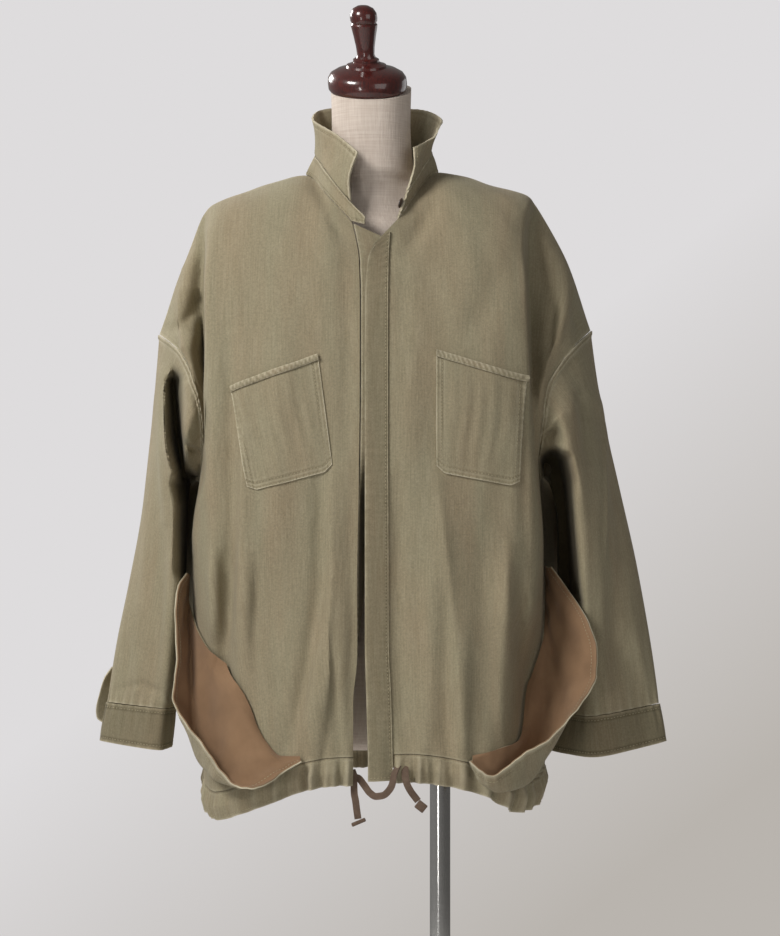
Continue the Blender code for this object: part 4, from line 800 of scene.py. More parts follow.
        wear_and_shade_values.data.foreach_set("value", np.clip(self.wear_and_shade.ravel()[spots], -1, 1)
                              .astype(np.float32))
        self.lay_cut(mesh)
        face_out(mesh)
        return add_piece(mesh, finish, self.name)

    def lay_cut(self, mesh):
        """Scales the grid's UVs to metres, so that a weave has its real size."""
        wide = np.linalg.norm(np.diff(self.points, axis=0), axis=-1).sum(0).mean()
        long = np.linalg.norm(np.diff(self.points, axis=1), axis=-1).sum(1).mean()
        layer = mesh.uv_layers["cut"].data
        uv = np.zeros(len(layer) * 2, np.float32)
        layer.foreach_get("uv", uv)
        uv = uv.reshape(-1, 2) * (wide, long)
        layer.foreach_set("uv", uv.astype(np.float32).ravel())


def mesh_of(bm, name):
    """A new mesh from a bmesh, which it frees."""
    mesh = bpy.data.meshes.new(name)
    bm.to_mesh(mesh)
    bm.free()
    return mesh


def face_out(mesh):
    """Turns the normals of a closed mesh outward."""
    bm = bmesh.new()
    bm.from_mesh(mesh)
    bmesh.ops.recalc_face_normals(bm, faces=bm.faces)
    bm.to_mesh(mesh)
    bm.free()


def in_scene(name, data):
    """A new object in the scene, with a mesh, a light or a camera."""
    obj = bpy.data.objects.new(name, data)
    bpy.context.scene.collection.objects.link(obj)
    return obj


def add_piece(mesh, finish, *nodes, angle=50):
    """A finished piece that stands for its CAD nodes and takes its finish from one slot."""
    mesh.polygons.foreach_set("use_smooth", [True] * len(mesh.polygons))
    mesh.set_sharp_from_angle(angle=math.radians(angle))
    mesh.materials.append(FINISHES[finish])
    obj = in_scene(mesh.name, mesh)
    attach(obj, "root")
    if nodes:
        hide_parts(*nodes)
    return obj


def make_sheet(cloth, finish="garment_washed_twill"):
    obj = cloth.make(finish)
    SEWING.extend(cloth.rows)
    return obj


SEWING = []


# ---------------------------------------------------------------- materials

def srgb(text):
    """A colour as linear values from an sRGB hex value."""
    channels = [int(text[k:k + 2], 16) / 255 for k in (1, 3, 5)]
    return tuple(c / 12.92 if c <= .04045 else ((c + .055) / 1.055) ** 2.4
                 for c in channels) + (1.0,)


def add(tree, kind, inputs=None, **settings):
    """Adds a shader node with its settings, its values and its links."""
    made = tree.nodes.new("ShaderNode" + kind)
    for name, value in settings.items():
        setattr(made, name, value)
    for name, value in (inputs or {}).items():
        if isinstance(value, bpy.types.NodeSocket):
            tree.links.new(value, made.inputs[name])
        else:
            made.inputs[name].default_value = value
    return made


def mixed(tree, share, one, other):
    """Two colours mixed by a share, as one node's colour output."""
    return add(tree, "Mix", {0: share, 6: one, 7: other}, data_type="RGBA").outputs[2]


def new_finish(name, **constants):
    """A material with the constants set on its own shader sockets."""
    made = bpy.data.materials.new(name)
    made.use_nodes = True
    shader = made.node_tree.nodes["Principled BSDF"]
    for socket, value in constants.items():
        shader.inputs[socket.replace("_", " ")].default_value = value
    return made, made.node_tree, shader


def object_place(tree):
    """Metres in the shared frame."""
    return add(tree, "TexCoord").outputs["Object"]


def cut_place(tree):
    """Metres along the weft and the warp of a piece of cloth."""
    return add(tree, "UVMap", uv_map="cut").outputs[0]


def math_of(tree, operation, *values, clamp=False):
    """One arithmetic node on its values."""
    return add(tree, "Math", dict(enumerate(values)), operation=operation,
               use_clamp=clamp).outputs[0]


def raised(tree, shader, strength, distance, height):
    """Gives the shader a fine relief, `distance` metres high."""
    bump = add(tree, "Bump", {"Strength": strength, "Distance": distance, "Height": height})
    tree.links.new(bump.outputs[0], shader.inputs["Normal"])


def spread_noise(tree, vector, scale, detail=2.0, rough=.5):
    """Noise with a scale in waves to the metre."""
    return add(tree, "TexNoise", {"Vector": vector, "Scale": scale, "Detail": detail,
                                  "Roughness": rough}).outputs["Fac"]


def ramp(tree, value, low, high):
    """A value stretched from low..high to 0..1."""
    return add(tree, "MapRange", {0: value, 1: low, 2: high, 3: 0.0, 4: 1.0}).outputs[0]


def streaks(tree, vector, waves, detail, low, high):
    """Streaky noise from 0 to 1, with its waves to the metre along each axis."""
    drawn = add(tree, "Mapping", {0: vector, 3: waves}).outputs[0]
    return ramp(tree, spread_noise(tree, drawn, 1.0, detail), low, high)


def twill(name, dyed, cooler, warmer, rubbed, deep):
    """Cotton twill, piece-dyed and then garment washed: matt and a little napped, uneven in
    tone along its warp, and rubbed pale wherever a seam or an edge stands proud. Painted shade
    darkens it where the wear_and_shade attribute falls below zero."""
    made, tree, shader = new_finish(name, Roughness=.92, Specular_IOR_Level=.18,
                                    Sheen_Weight=.10, Sheen_Roughness=.45)
    cut = cut_place(tree)
    place_on = object_place(tree)
    # warp yarns vary in tone every millimetre or so, in streaks some 45 mm long
    warp = streaks(tree, cut, (1 / .0014, 1 / .045, 1), 1.0, .32, .68)
    # the wash leaves cooler and warmer panels a hand wide
    wash = streaks(tree, cut, (1 / .045, 1 / .22, 1), 2.0, .35, .65)
    blotch = ramp(tree, spread_noise(tree, place_on, 1 / .035, 3.0, .6), .3, .7)
    colour = mixed(tree, wash, srgb(cooler), srgb(warmer))
    colour = mixed(tree, .55, colour, srgb(dyed))
    colour = mixed(tree, math_of(tree, "MULTIPLY", blotch, .14), colour, srgb(deep))
    colour = mixed(tree, math_of(tree, "MULTIPLY", warp, .13), colour, srgb(rubbed))
    # single yarns take the wash unevenly, drawn 2.5 mm wide so that they show
    fleck = spread_noise(tree, place_on, 1 / .0025, 4.0, .8)
    fleck = add(tree, "MapRange", {0: fleck, 1: .3, 2: .7, 3: .80, 4: 1.16}).outputs[0]
    colour = add(tree, "VectorMath", {0: colour, 3: fleck}, operation="SCALE").outputs[0]
    wear_and_shade_values = add(tree, "Attribute", attribute_name="wear_and_shade").outputs["Fac"]
    grain = ramp(tree, spread_noise(tree, place_on, 1 / .0018, 2.0, .7), .25, .6)
    rub = math_of(tree, "MULTIPLY", wear_and_shade_values, grain)
    rub = math_of(tree, "MULTIPLY_ADD", rub, .2, wear_and_shade_values)
    rub = math_of(tree, "MULTIPLY", rub, .78, clamp=True)
    colour = mixed(tree, rub, colour, srgb(rubbed))
    # painted shade: where wear_and_shade is below zero (stitching grooves, the floors of
    # hollows, the cuffs, the placket and the pocket hems' rib troughs) the colour goes towards a
    # deep olive
    painted_shade = math_of(tree, "MULTIPLY", wear_and_shade_values, -.8, clamp=True)
    colour = mixed(tree, painted_shade, colour, srgb("#4E4632"))
    tree.links.new(colour, shader.inputs["Base Color"])
    # twill lines are .6 mm apart on such cloth, drawn 1.2 mm apart so that they show
    lines = add(tree, "Mapping", {0: cut, 2: (0, 0, math.radians(63))}).outputs[0]
    weave = add(tree, "TexWave", {"Vector": lines, "Scale": .314 / .0012, "Distortion": 1.2,
                                  "Detail": 1.0, "Detail Scale": 2.0}).outputs["Fac"]
    nap = spread_noise(tree, place_on, 1 / .0016, 4.0, .8)
    wrinkle = spread_noise(tree, place_on, 1 / .009, 3.0, .6)
    relief = math_of(tree, "MULTIPLY_ADD", weave, .25, nap)
    relief = math_of(tree, "MULTIPLY_ADD", wrinkle, 1.6, relief)
    raised(tree, shader, .7, .0006, relief)
    return made


def lining_cloth():
    """Plain-woven cotton pocketing, dyed brown and washed: flat, matt and finely grained."""
    made, tree, shader = new_finish("plain_woven_pocketing", Roughness=.88,
                                    Specular_IOR_Level=.2, Sheen_Weight=.12)
    cut = cut_place(tree)
    place_on = object_place(tree)
    blotch = ramp(tree, spread_noise(tree, place_on, 1 / .030, 3.0, .6), .3, .7)
    colour = mixed(tree, blotch, srgb("#94765A"), srgb("#876B51"))
    wear_and_shade_values = add(tree, "Attribute", attribute_name="wear_and_shade").outputs["Fac"]
    colour = mixed(tree, wear_and_shade_values, colour, srgb("#A98D70"))
    tree.links.new(colour, shader.inputs["Base Color"])
    # yarns .5 mm apart, drawn 1 mm apart so that they show
    over, under = (add(tree, "TexWave", {"Vector": cut, "Scale": .314 / .001},
                       bands_direction=way).outputs["Fac"] for way in "XY")
    relief = math_of(tree, "MULTIPLY", over, under)
    wrinkle = spread_noise(tree, place_on, 1 / .012, 3.0, .6)
    relief = math_of(tree, "MULTIPLY_ADD", wrinkle, 2.0, relief)
    raised(tree, shader, .4, .0004, relief)
    return made


def linen_cloth():
    """Undyed plain-woven linen, stretched over the form: matt, with thick and thin yarns both
    ways that show as a faint check."""
    made, tree, shader = new_finish("plain_woven_linen", Roughness=.9, Specular_IOR_Level=.2,
                                    Sheen_Weight=.08)
    place_on = object_place(tree)
    # yarns are drawn 1.9 mm wide, in stretches some 45 mm long
    thick, long = 1 / .0019, 1 / .045
    warp, weft = (streaks(tree, place_on, waves, 1.0, .3, .7)
                  for waves in ((thick, thick, long), (long, long, thick)))
    slub = math_of(tree, "ADD", warp, weft)
    share = math_of(tree, "MULTIPLY", slub, .5)
    colour = mixed(tree, share, srgb("#C9BAAE"), srgb("#DDD1C6"))
    tree.links.new(colour, shader.inputs["Base Color"])
    raised(tree, shader, .35, .0005, slub)
    return made


def tape_cloth():
    """Herringbone cotton tape, dyed dark brown: ribs across its width, matt."""
    made, tree, shader = new_finish("woven_cotton_tape", Roughness=.85, Specular_IOR_Level=.2,
                                    Sheen_Weight=.15)
    cut = cut_place(tree)
    place_on = object_place(tree)
    blotch = spread_noise(tree, place_on, 1 / .006, 3.0, .6)
    colour = mixed(tree, blotch, srgb("#54443A"), srgb("#7A6758"))
    tree.links.new(colour, shader.inputs["Base Color"])
    # ribs 1.1 mm apart
    ribs = add(tree, "TexWave", {"Vector": cut, "Scale": .314 / .0011, "Distortion": .6},
               bands_direction="Y").outputs["Fac"]
    raised(tree, shader, .5, .0003, ribs)
    return made


def varnished_wood():
    """Turned mahogany under clear varnish: dark red brown, glossy, fine straight grain."""
    made, tree, shader = new_finish("varnished_mahogany", Roughness=.28, Coat_Weight=1.0,
                                    Coat_Roughness=.06, Coat_IOR=1.5)
    place_on = object_place(tree)
    along = add(tree, "Mapping", {0: place_on, 2: (.3, 1.2, 0), 3: (1 / .0016, 1 / .0016,
                                                                    1 / .030)}).outputs[0]
    grain = ramp(tree, spread_noise(tree, along, 1.0, 4.0, .6), .3, .7)
    colour = mixed(tree, grain, srgb("#2C0C0C"), srgb("#5A1E18"))
    tree.links.new(colour, shader.inputs["Base Color"])
    raised(tree, shader, .08, .0002, grain)
    return made


def plated_steel():
    """Chrome-plated steel tube and plate: mirror bright, with faint polishing lines."""
    made, tree, shader = new_finish("chrome_plated_steel", Metallic=1.0)
    place_on = object_place(tree)
    tone = spread_noise(tree, place_on, 1 / .08, 2.0)
    tree.links.new(mixed(tree, tone, srgb("#C9C9C8"), srgb("#DAD9D7")),
                   shader.inputs["Base Color"])
    lines = add(tree, "Mapping", {0: place_on, 3: (1 / .09, 1 / .09, 1 / .0012)}).outputs[0]
    haze = add(tree, "MapRange", {0: spread_noise(tree, lines, 1.0, 2.0), 3: .09,
                                  4: .20}).outputs[0]
    tree.links.new(haze, shader.inputs["Roughness"])
    return made


def cast_button():
    """Polyester button in dark horn: satin, with drifting lighter streaks."""
    made, tree, shader = new_finish("horn_effect_polyester", Roughness=.3, Coat_Weight=.3,
                                    Coat_Roughness=.2)
    place_on = object_place(tree)
    streak = ramp(tree, spread_noise(tree, place_on, 1 / .004, 3.0), .4, .7)
    tree.links.new(mixed(tree, streak, srgb("#2A1D17"), srgb("#57402F")),
                   shader.inputs["Base Color"])
    return made


def sewing_thread():
    """Spun polyester thread, paler than the cloth since it doesn't take the dye: matt."""
    made, tree, shader = new_finish("spun_polyester_thread", Roughness=.7, Sheen_Weight=.2)
    place_on = object_place(tree)
    tone = spread_noise(tree, place_on, 1 / .02, 3.0)
    tree.links.new(mixed(tree, tone, srgb("#8A8063"), srgb("#B3A98B")),
                   shader.inputs["Base Color"])
    return made


def painted_floor():
    """Pale grey studio floor paint."""
    made, tree, shader = new_finish("pale_floor_paint", Roughness=.7)
    place_on = object_place(tree)
    tone = spread_noise(tree, place_on, 1.5, 2.0)
    tree.links.new(mixed(tree, tone, srgb("#D2D0CE"), srgb("#D8D7D5")),
                   shader.inputs["Base Color"])
    return made


FINISHES = {
    "garment_washed_twill": twill("garment_washed_twill", "#958A71", "#949077", "#99896F",
                                  "#D0C7AE", "#7A705A"),
    "plain_woven_pocketing": lining_cloth(),
    "plain_woven_linen": linen_cloth(),
    "woven_cotton_tape": tape_cloth(),
    "varnished_mahogany": varnished_wood(),
    "chrome_plated_steel": plated_steel(),
    "horn_effect_polyester": cast_button(),
    "spun_polyester_thread": sewing_thread(),
}


# ---------------------------------------------------------------- body and sleeves

def eased(points, row):
    """Softens the bend of a grid across a row, except near its side edges."""
    soft = points.copy()
    for _ in range(EASE_PASSES):
        soft[:, 1:-1] = (soft[:, :-2] + 2 * soft[:, 1:-1] + soft[:, 2:]) / 4
    columns, rows = np.arange(points.shape[0]), np.arange(points.shape[1])
    near = np.exp(-((rows - row) / EASE_REACH) ** 2)
    inner = fade((np.minimum(columns, columns[::-1]) - EASE_FROM) / EASE_OVER)
    return points + (soft - points) * (inner[:, None] * near[None])[..., None]


def body_grids():
    """Placed grids of the two fronts and the back, with normals shared along their seams."""
    share = np.linspace(0, 1, ROWS_ABOVE + 1)
    above = UNDERARM * share ** 1.15
    below = np.linspace(UNDERARM, 1, ROWS_BELOW + 1)[1:]
    levels = np.concatenate([above, below])
    side = np.linspace(AT_NECK, 1, SIDE_PART + 1)
    columns = np.concatenate([np.linspace(0, AT_NECK, FRONT_PART + 1)[:-1], side])
    middle = np.linspace(-AT_NECK, AT_NECK, 2 * FRONT_PART // 3 + 1)[1:-1]
    grids = {
        "right": place(grid_of(lambda u, v: front("right", u, v), columns, levels)),
        "left": place(grid_of(lambda u, v: front("left", u, v), columns, levels)),
        "back": place(grid_of(back, np.concatenate([-side[::-1], middle, side]), levels)),
    }
    grids["back"] = eased(grids["back"], ROWS_ABOVE)
    normals = {"right": -normals_of(grids["right"]), "left": normals_of(grids["left"]),
               "back": -normals_of(grids["back"])}
    count = SIDE_PART + 1
    for key, rows in (("right", slice(0, count)), ("left", slice(-count, None))):
        end = 0 if key == "right" else -1
        shared = unit(normals[key][-1] + normals["back"][end])
        normals[key][-1] = shared
        normals["back"][end] = shared
        top = normals["back"][rows, 0]
        top = top[::-1] if key == "right" else top
        joined = unit(normals[key][FRONT_PART:, 0] + top)
        normals[key][FRONT_PART:, 0] = joined
        normals["back"][rows, 0] = joined[::-1] if key == "right" else joined
    return grids, normals


def gather(s, total):
    """Heights of the long and the short gathers, in metres, at s along the casing's seam."""
    pitch = total / GATHERS
    long = np.sin(2 * math.pi * (s / (pitch * 2.4) + .55 * np.sin(s / .071)))
    short = np.sin(2 * math.pi * (s / (pitch * 1.15) + .6 * np.sin(s / .033 + 1)))
    uneven = .7 + .7 * np.sin(s / .041 + 1.5 * np.sin(s / .17))
    return .0017 * long * (.7 + .5 * np.sin(s / .093 + 2)), .0013 * short * uneven


def foot_lengths(grids):
    """Length along the casing's seam at every column of the three panels' feet."""
    line = np.concatenate([grids["right"][:, -1], grids["back"][1:, -1],
                           grids["left"][::-1][1:, -1]])
    s = np.concatenate([[0], np.cumsum(np.linalg.norm(np.diff(line, axis=0), axis=1))])
    a, b = len(grids["right"]), len(grids["right"]) + len(grids["back"]) - 1
    return {"right": s[:a], "back": s[a - 1:b], "left": s[b - 1:][::-1]}, s[-1]


def make_body():
    """The two fronts and the back. Returns their creased cloths."""
    grids, normals = body_grids()
    lengths, total = foot_lengths(grids)
    cloths = {}
    for key, name in (("right", "front_right"), ("left", "front_left"), ("back", "back")):
        cloth = Cloth(name, grids[key], normals[key], CLOTH)
        if key == "back":
            cloth.crease(BACK_CREASES["back"], 1, ("first", "last", "top"))
            cloth.ripple(.075, .0008)
        else:
            cloth.crease(CREASES[name], -1, ("last", "top"))
            cloth.crease(KEEN[name], -1, ("last", "top"), power=1)
            cloth.ripple(.075, .0007)
        _, low = cloth.from_edge("foot")
        long, _ = gather(lengths[key], total)
        cloth.lift(long[:, None] * np.exp(-low / .022))
        for edge in ("first", "last") if key == "back" else ("last",):
            cloth.pucker(edge, .0105, .00035, .006, shift=1.0)
        cloths[key] = cloth
    for side in ("right", "left"):
        # below the underarm the front and the back share the side seam's points
        end, low = (0 if side == "right" else -1), slice(ROWS_ABOVE, None)
        shared = (cloths[side].points[-1, low] + cloths["back"].points[end, low]) / 2
        cloths[side].points[-1, low] = shared
        cloths["back"].points[end, low] = shared
    return cloths, lengths, total


def finish_body(cloths):
    """Closes the body panels, drawn in at their seams."""
    for key, cloth in cloths.items():
        cloth.points = pulled(cloth.points)
        cloth.rub("foot", .3)
        cloth.rub("top", .35)
        for edge in ("first", "last") if key == "back" else ("last",):
            cloth.rub(edge, .75)
            cloth.stitch(edge, .0022)
        if key == "back":
            cloth.stitch("top", .0022)
        make_sheet(cloth)


def armhole(side, cloths):
    """The armhole's points from the shoulder down the front and up the back, and round to the
    first again."""
    row = slice(0, ROWS_ABOVE + 1)
    ahead = cloths[side].points[-1, row]
    behind = cloths["back"].points[0 if side == "right" else -1, row]
    return np.concatenate([ahead, behind[::-1][1:]])


def ring_of(corners, count):
    """A rounded ring through four corners, starting at the outer one and closing on it."""
    corners = np.asarray(corners, float)
    middle = corners.mean(0)
    knots = []
    for k in range(4):
        here, after = corners[k], corners[(k + 1) % 4]
        knots.append(here)
        between = (here + after) / 2
        knots.append(between + (between - middle) * .16)
    knots = np.array(knots)
    t = np.arange(count) * 8 / (count - 1)
    i = t.astype(int)
    f = (t - i)[:, None]
    p = [knots[(i + k) % 8] for k in (-1, 0, 1, 2)]
    m1, m2 = (p[2] - p[0]) / 2, (p[3] - p[1]) / 2
    return ((2 * f ** 3 - 3 * f ** 2 + 1) * p[1] + (f ** 3 - 2 * f ** 2 + f) * m1
            + (3 * f ** 2 - 2 * f ** 3) * p[2] + (f ** 3 - f ** 2) * m2)


def make_sleeve(side, cloths):
    """A sleeve from its armhole down to the cuff's seam. Returns its cloth."""
    hole = armhole(side, cloths)
    net = np.array([hole] + [place(ring_of(c, len(hole))) for _, *c in SLEEVE[side]])
    knots = [0.0] + [r[0] for r in SLEEVE[side]]
    lengths = np.concatenate([np.linspace(0, .03, 8)[:-1], np.linspace(.03, 1, 128)])
    flat = net.reshape(len(net), -1)
    out = np.stack([smooth(knots, flat[:, k], lengths) for k in range(flat.shape[1])], -1)
    points = out.reshape(len(lengths), len(hole), 3).transpose(1, 0, 2)
    points[:, 0] += unit(points[:, 1] - points[:, 0]) * GAP
    sign = -1 if side == "left" else 1
    cloth = Cloth("sleeve_" + side, points, normals_of(points, True) * sign, CLOTH, wrap=True)
    cloth.crease(CREASES[cloth.name], -1, ("top",), .008)
    cloth.sink(HOLLOWS[cloth.name])
    cloth.crease(KEEN[cloth.name], -1, ("top",), .006, power=1)
    cloth.crease(BACK_CREASES[cloth.name], 1, ("top",), .02)
    cloth.ripple(.10, .0011)
    cloth.pucker("top", .0105, .0006, .007, shift=2.0)
    cloth.pucker("foot", .0125, .0009, .012, shift=.6)
    cloth.welt("top", .0070, .0018)
    cloth.groove("top", .0034, .0005, .0012)
    cloth.rub("top", 1.0, .0020)
    cloth.rub("top", .7, .0016, at=.0066)
    cloth.rub("foot", .4)
    cloth.stitch("top", .0052)
    make_sheet(cloth)
    return cloth


def make_cuff(side, sleeve):
    """A double cuff round the sleeve's foot."""
    top = sleeve.points[:, -1]
    foot = place(ring_of(CUFF_FOOT[side], len(top)))
    t = np.linspace(0, 1, 18)
    points = top[:, None] + (foot - top)[:, None] * t[None, :, None]
    outward = unit(points - points.mean(0)) * np.array([1, 1, 0])
    ease = CUFF_EASE * (1 + .6 * np.sin(math.pi * t))
    points = points + outward * ease[None, :, None]
    points += unit(foot - top)[:, None] * (GAP * 2 + .0004) * (1 - t)[None, :, None]
    sign = -1 if side == "left" else 1
    cloth = Cloth("cuff_" + side, points, normals_of(points, True) * sign, DOUBLE, wrap=True)
    # painted shade: the whole cuff is darkened in colour
    cloth.wear_and_shade -= .45
    cloth.ripple(.06, .0009)
    cloth.pucker("top", .011, .0004, .008, shift=1.4)
    cloth.pucker("foot", .013, .0004, .006, shift=.2)
    cloth.groove("top", .0050, .0003)
    cloth.groove("foot", .0052, .0003)
    cloth.rub("foot", .8)
    cloth.rub("top", .55)
    cloth.stitch("top", .0050)
    cloth.stitch("foot", .0052)
    make_sheet(cloth)


def make_cuff_lap():
    """The end of the right cuff that stands out behind, where the cuff is open."""
    down = np.linspace(CUFF_LAP[0][0], CUFF_LAP[-1][0], 30)
    across = curve(CUFF_LAP, down)[:, 0]
    free, held = (np.stack([a, down, np.full(30, depth)], -1) for a, depth in
                  zip((across, np.maximum(across + 6, LAP_HELD)), LAP_DEPTHS))
    t = np.linspace(0, 1, 8)[:, None, None]
    points = place(free[None] * (1 - t) + held[None] * t)
    cloth = Cloth("cuff_lap_right", points, -normals_of(points), CLOTH)
    cloth.rub("first", .9)
    cloth.rub("foot", .8)
    make_sheet(cloth)


# ---------------------------------------------------------------- collar and front edges

def neck_feet(at):
    """Where the collar stand's foot meets the neckline, at the collar's stations `at`."""
    feet = []
    for station in at:
        k = min(int(station), len(COLLAR) - 2)
        share = station - k
        (panel, u, *_), (next_panel, next_u, *_) = COLLAR[k], COLLAR[k + 1]
        if panel is None:
            edge = front("right", np.zeros(1), np.zeros(1))[0]
            feet.append(np.array(STAND_END) * (1 - share) + edge * share)
        elif "back" in (panel, next_panel):
            u = -u if panel == "right" else u
            next_u = -next_u if next_panel == "right" else next_u
            feet.append(back(np.array([u + (next_u - u) * share]), np.zeros(1))[0])
        else:
            feet.append(front(panel, np.array([u + (next_u - u) * share]), np.zeros(1))[0])
    return place(np.array(feet))


def straight_between(one, other, t):
    """A grid straight from one line of points to the other, at the shares t."""
    t = t[None, :, None]
    return one[:, None] * (1 - t) + other[:, None] * t


def make_collar():
    """The stand on the neckline and the fall that stands up from it, both double."""
    stations = np.arange(len(COLLAR), dtype=float)
    around = np.linspace(0, len(COLLAR) - 1, (len(COLLAR) - 1) * COLLAR_STEPS + 1)
    low = neck_feet(around)
    high = curve(np.c_[stations, place([row[2] for row in COLLAR])], around)
    rise = unit(high - low)
    low, high = low + rise * (CLOTH * .5 + GAP * 2), high - rise * GAP * 1.2
    stand = straight_between(low, high, np.linspace(0, 1, 14))
    with_fall = slice(COLLAR_STEPS, -COLLAR_STEPS)
    stations, seam, top = stations[1:-1], high[with_fall], [r[3] for r in COLLAR[1:-1]]
    top = curve(np.c_[stations, place(top)], around[with_fall])
    bow = curve(np.c_[stations, [r[4] * GRID for r in COLLAR[1:-1]]], around[with_fall])
    seam = seam + unit(top - seam) * GAP * 2
    t = np.linspace(0, 1, 24)
    fall = straight_between(seam, top, t)
    fall[..., 0] += bow * np.sin(math.pi * t)[None, :]
    stand_normals, fall_normals = normals_of(stand), normals_of(fall)
    shared = unit(stand_normals[with_fall, -1] + fall_normals[:, 0])
    stand_normals[with_fall, -1] = fall_normals[:, 0] = shared
    foot = Cloth("collar_stand", stand, stand_normals, DOUBLE)
    foot.pucker("top", .010, .0009, .007, shift=.5)
    foot.pucker("foot", .009, .0007, .006, shift=1.5)
    foot.ripple(.030, .0006)
    for edge, depth in (("foot", .0004), ("top", .0003)):
        foot.groove(edge, .0036, depth, .0012)
        foot.rub(edge, .8)
        foot.stitch(edge, .0036)
    foot.groove("top", .0, .0006, .0012)
    foot.rub("first", .9)
    foot.rub("last", .7)
    leaf = Cloth("collar", fall, fall_normals, DOUBLE)
    leaf.ripple(.07, .0018)
    leaf.ripple(.025, .0005, .7)
    leaf.pucker("foot", .0105, .0008, .007, shift=.8)
    leaf.groove("top", .0, .0008, .0014)
    for edge in ("first", "foot", "last"):
        leaf.pucker(edge, .0085, .00035, .005, start=.003, shift=1.1)
        leaf.groove(edge, .0058, .0005, .0012)
        leaf.rub(edge, 1.0, .0016)
        leaf.rub(edge, .3, .0012, at=.0078)
        leaf.stitch(edge, .0058)
    make_sheet(foot)
    make_sheet(leaf)


def find_on(side, across, down):
    """The u and v where a front's elevation shows at (across, down), by Newton steps."""
    u, v = np.full(len(across), .3), np.full(len(across), .4)
    step = 1e-3
    for _ in range(25):
        here = front(side, u, v)
        du = (front(side, u + step, v) - here) / step
        dv = (front(side, u, v + step) - here) / step
        ex, ey = across - here[:, 0], down - here[:, 1]
        det = du[:, 0] * dv[:, 1] - dv[:, 0] * du[:, 1]
        det = np.where(np.abs(det) < 1e-6, 1e-6, det)
        u = np.clip(u + .8 * (ex * dv[:, 1] - ey * dv[:, 0]) / det, 0.001, .995)
        v = np.clip(v + .8 * (ey * du[:, 0] - ex * du[:, 1]) / det, 0.001, .995)
    return u, v


def lay_on(side, across, down):
    """Placed points and outward normals on a front where it shows at across and down."""
    shape = across.shape
    u, v = find_on(side, across.ravel(), down.ravel())
    step = .006
    here = place(front(side, u, v))
    du = (place(front(side, np.minimum(u + step, .999), v))
          - place(front(side, np.maximum(u - step, 0), v)))
    dv = (place(front(side, u, np.minimum(v + step, .999)))
          - place(front(side, u, np.maximum(v - step, 0))))
    normal = unit(np.cross(du, dv))
    normal = np.where(normal[:, 1:2] > 0, -normal, normal)
    return here.reshape(*shape, 3), normal.reshape(*shape, 3)


def surface_of(*grids):
    """A search tree over placed grids, to lay other pieces on them."""
    verts, faces = [], []
    for grid in grids:
        nu, nv = grid.shape[:2]
        base = len(verts)
        verts += [Vector(p) for p in grid.reshape(-1, 3)]
        faces += [(base + i * nv + k, base + (i + 1) * nv + k, base + (i + 1) * nv + k + 1,
                   base + i * nv + k + 1) for i in range(nu - 1) for k in range(nv - 1)]
    return BVHTree.FromPolygons(verts, faces)


def rest_on(points, normals, surface, room, reach=.02):
    """Puts a grid at `room` from a creased surface, along the grid's own normals."""
    flat, out = points.reshape(-1, 3).copy(), normals.reshape(-1, 3)
    for i, (point, n) in enumerate(zip(flat, out)):
        _, _, _, far = surface.ray_cast(Vector(point + n * reach), Vector(-n), 2 * reach)
        flat[i] = point + n * (room if far is None else reach - far + room)
    return flat.reshape(points.shape)


def make_placket(surface):
    """The top layer over the buttons, from the neck to the hem, on the left front."""
    rows = np.concatenate([np.linspace(PLACKET_TOP, PLACKET_STRAIGHT, 26)[:-1],
                           np.linspace(PLACKET_STRAIGHT, PLACKET_FOOT, 210)])
    edge = curve([(d, a) for d, a, _ in FRONT_LEFT["edge"][2]], rows)[:, 0]
    seam = np.maximum(curve(PLACKET_SEAM, rows)[:, 0], edge + 1.5)
    t = np.linspace(0, 1, 15)
    across = edge[:, None] * (1 - t) + seam[:, None] * t
    near_top = np.clip(1 - (rows - rows[0]) / 70, 0, 1)
    down = rows[:, None] - NECK_RISE * t[None, :] * near_top[:, None]
    across[:, 0] += near_top * .8
    here, normal = lay_on("left", across, np.minimum(down, FRONT_FOOT))
    room = CLOTH / 2 + LAID + DOUBLE / 2
    points = rest_on(here, normal, surface, room)
    drop = (down - np.minimum(down, FRONT_FOOT)) * GRID * .95
    points[..., 2] -= drop
    points[..., 1] -= drop * .05
    points += normal * (near_top * .001)[:, None, None]
    cloth = Cloth("placket", points.transpose(1, 0, 2), normal.transpose(1, 0, 2), DOUBLE)
    # painted shade: the whole placket is darkened in colour
    cloth.wear_and_shade -= .42
    cloth.pucker("last", .0098, .00055, .009, shift=.4)
    cloth.pucker("first", .0140, .00020, .006, shift=1.3)
    cloth.groove("last", .0024, .0003, .0011)
    cloth.rub("first", 1.0, .0020)
    cloth.rub("last", .8, .0014)
    cloth.rub("foot", .6)
    cloth.stitch("last", .0028)
    cloth.stitch("foot", .0040)
    make_sheet(cloth)


def make_button_band():
    """The band on the right front's edge, which turns in below the chest."""
    rows = np.linspace(BAND_TOP, BAND_FOOT, 200)
    edge = curve(FRONT_RIGHT["edge"][2], rows)
    turn = np.radians(curve(BAND_TURN, rows)[:, 0])
    start = place(np.stack([edge[:, 0], rows, edge[:, 1]], -1))
    slope = np.interp(rows, [BAND_TOP, 300], [12, 0]) * GRID
    w = np.linspace(0, 1, 12)
    out = np.stack([np.cos(turn), np.sin(turn), 0 * turn], -1)
    points = start[:, None] + out[:, None] * (GAP * 4 + w[None, :, None] * BAND_WIDTH)
    points[..., 2] -= slope[:, None] * w[None, :]
    points = points.transpose(1, 0, 2)
    cloth = Cloth("button_band", points, normals_of(points), CLOTH)
    cloth.pucker("first", .0095, .0004, .006, shift=.9)
    cloth.rub("first", .6)
    cloth.rub("last", .7)
    cloth.stitch("first", .0022)
    make_sheet(cloth)


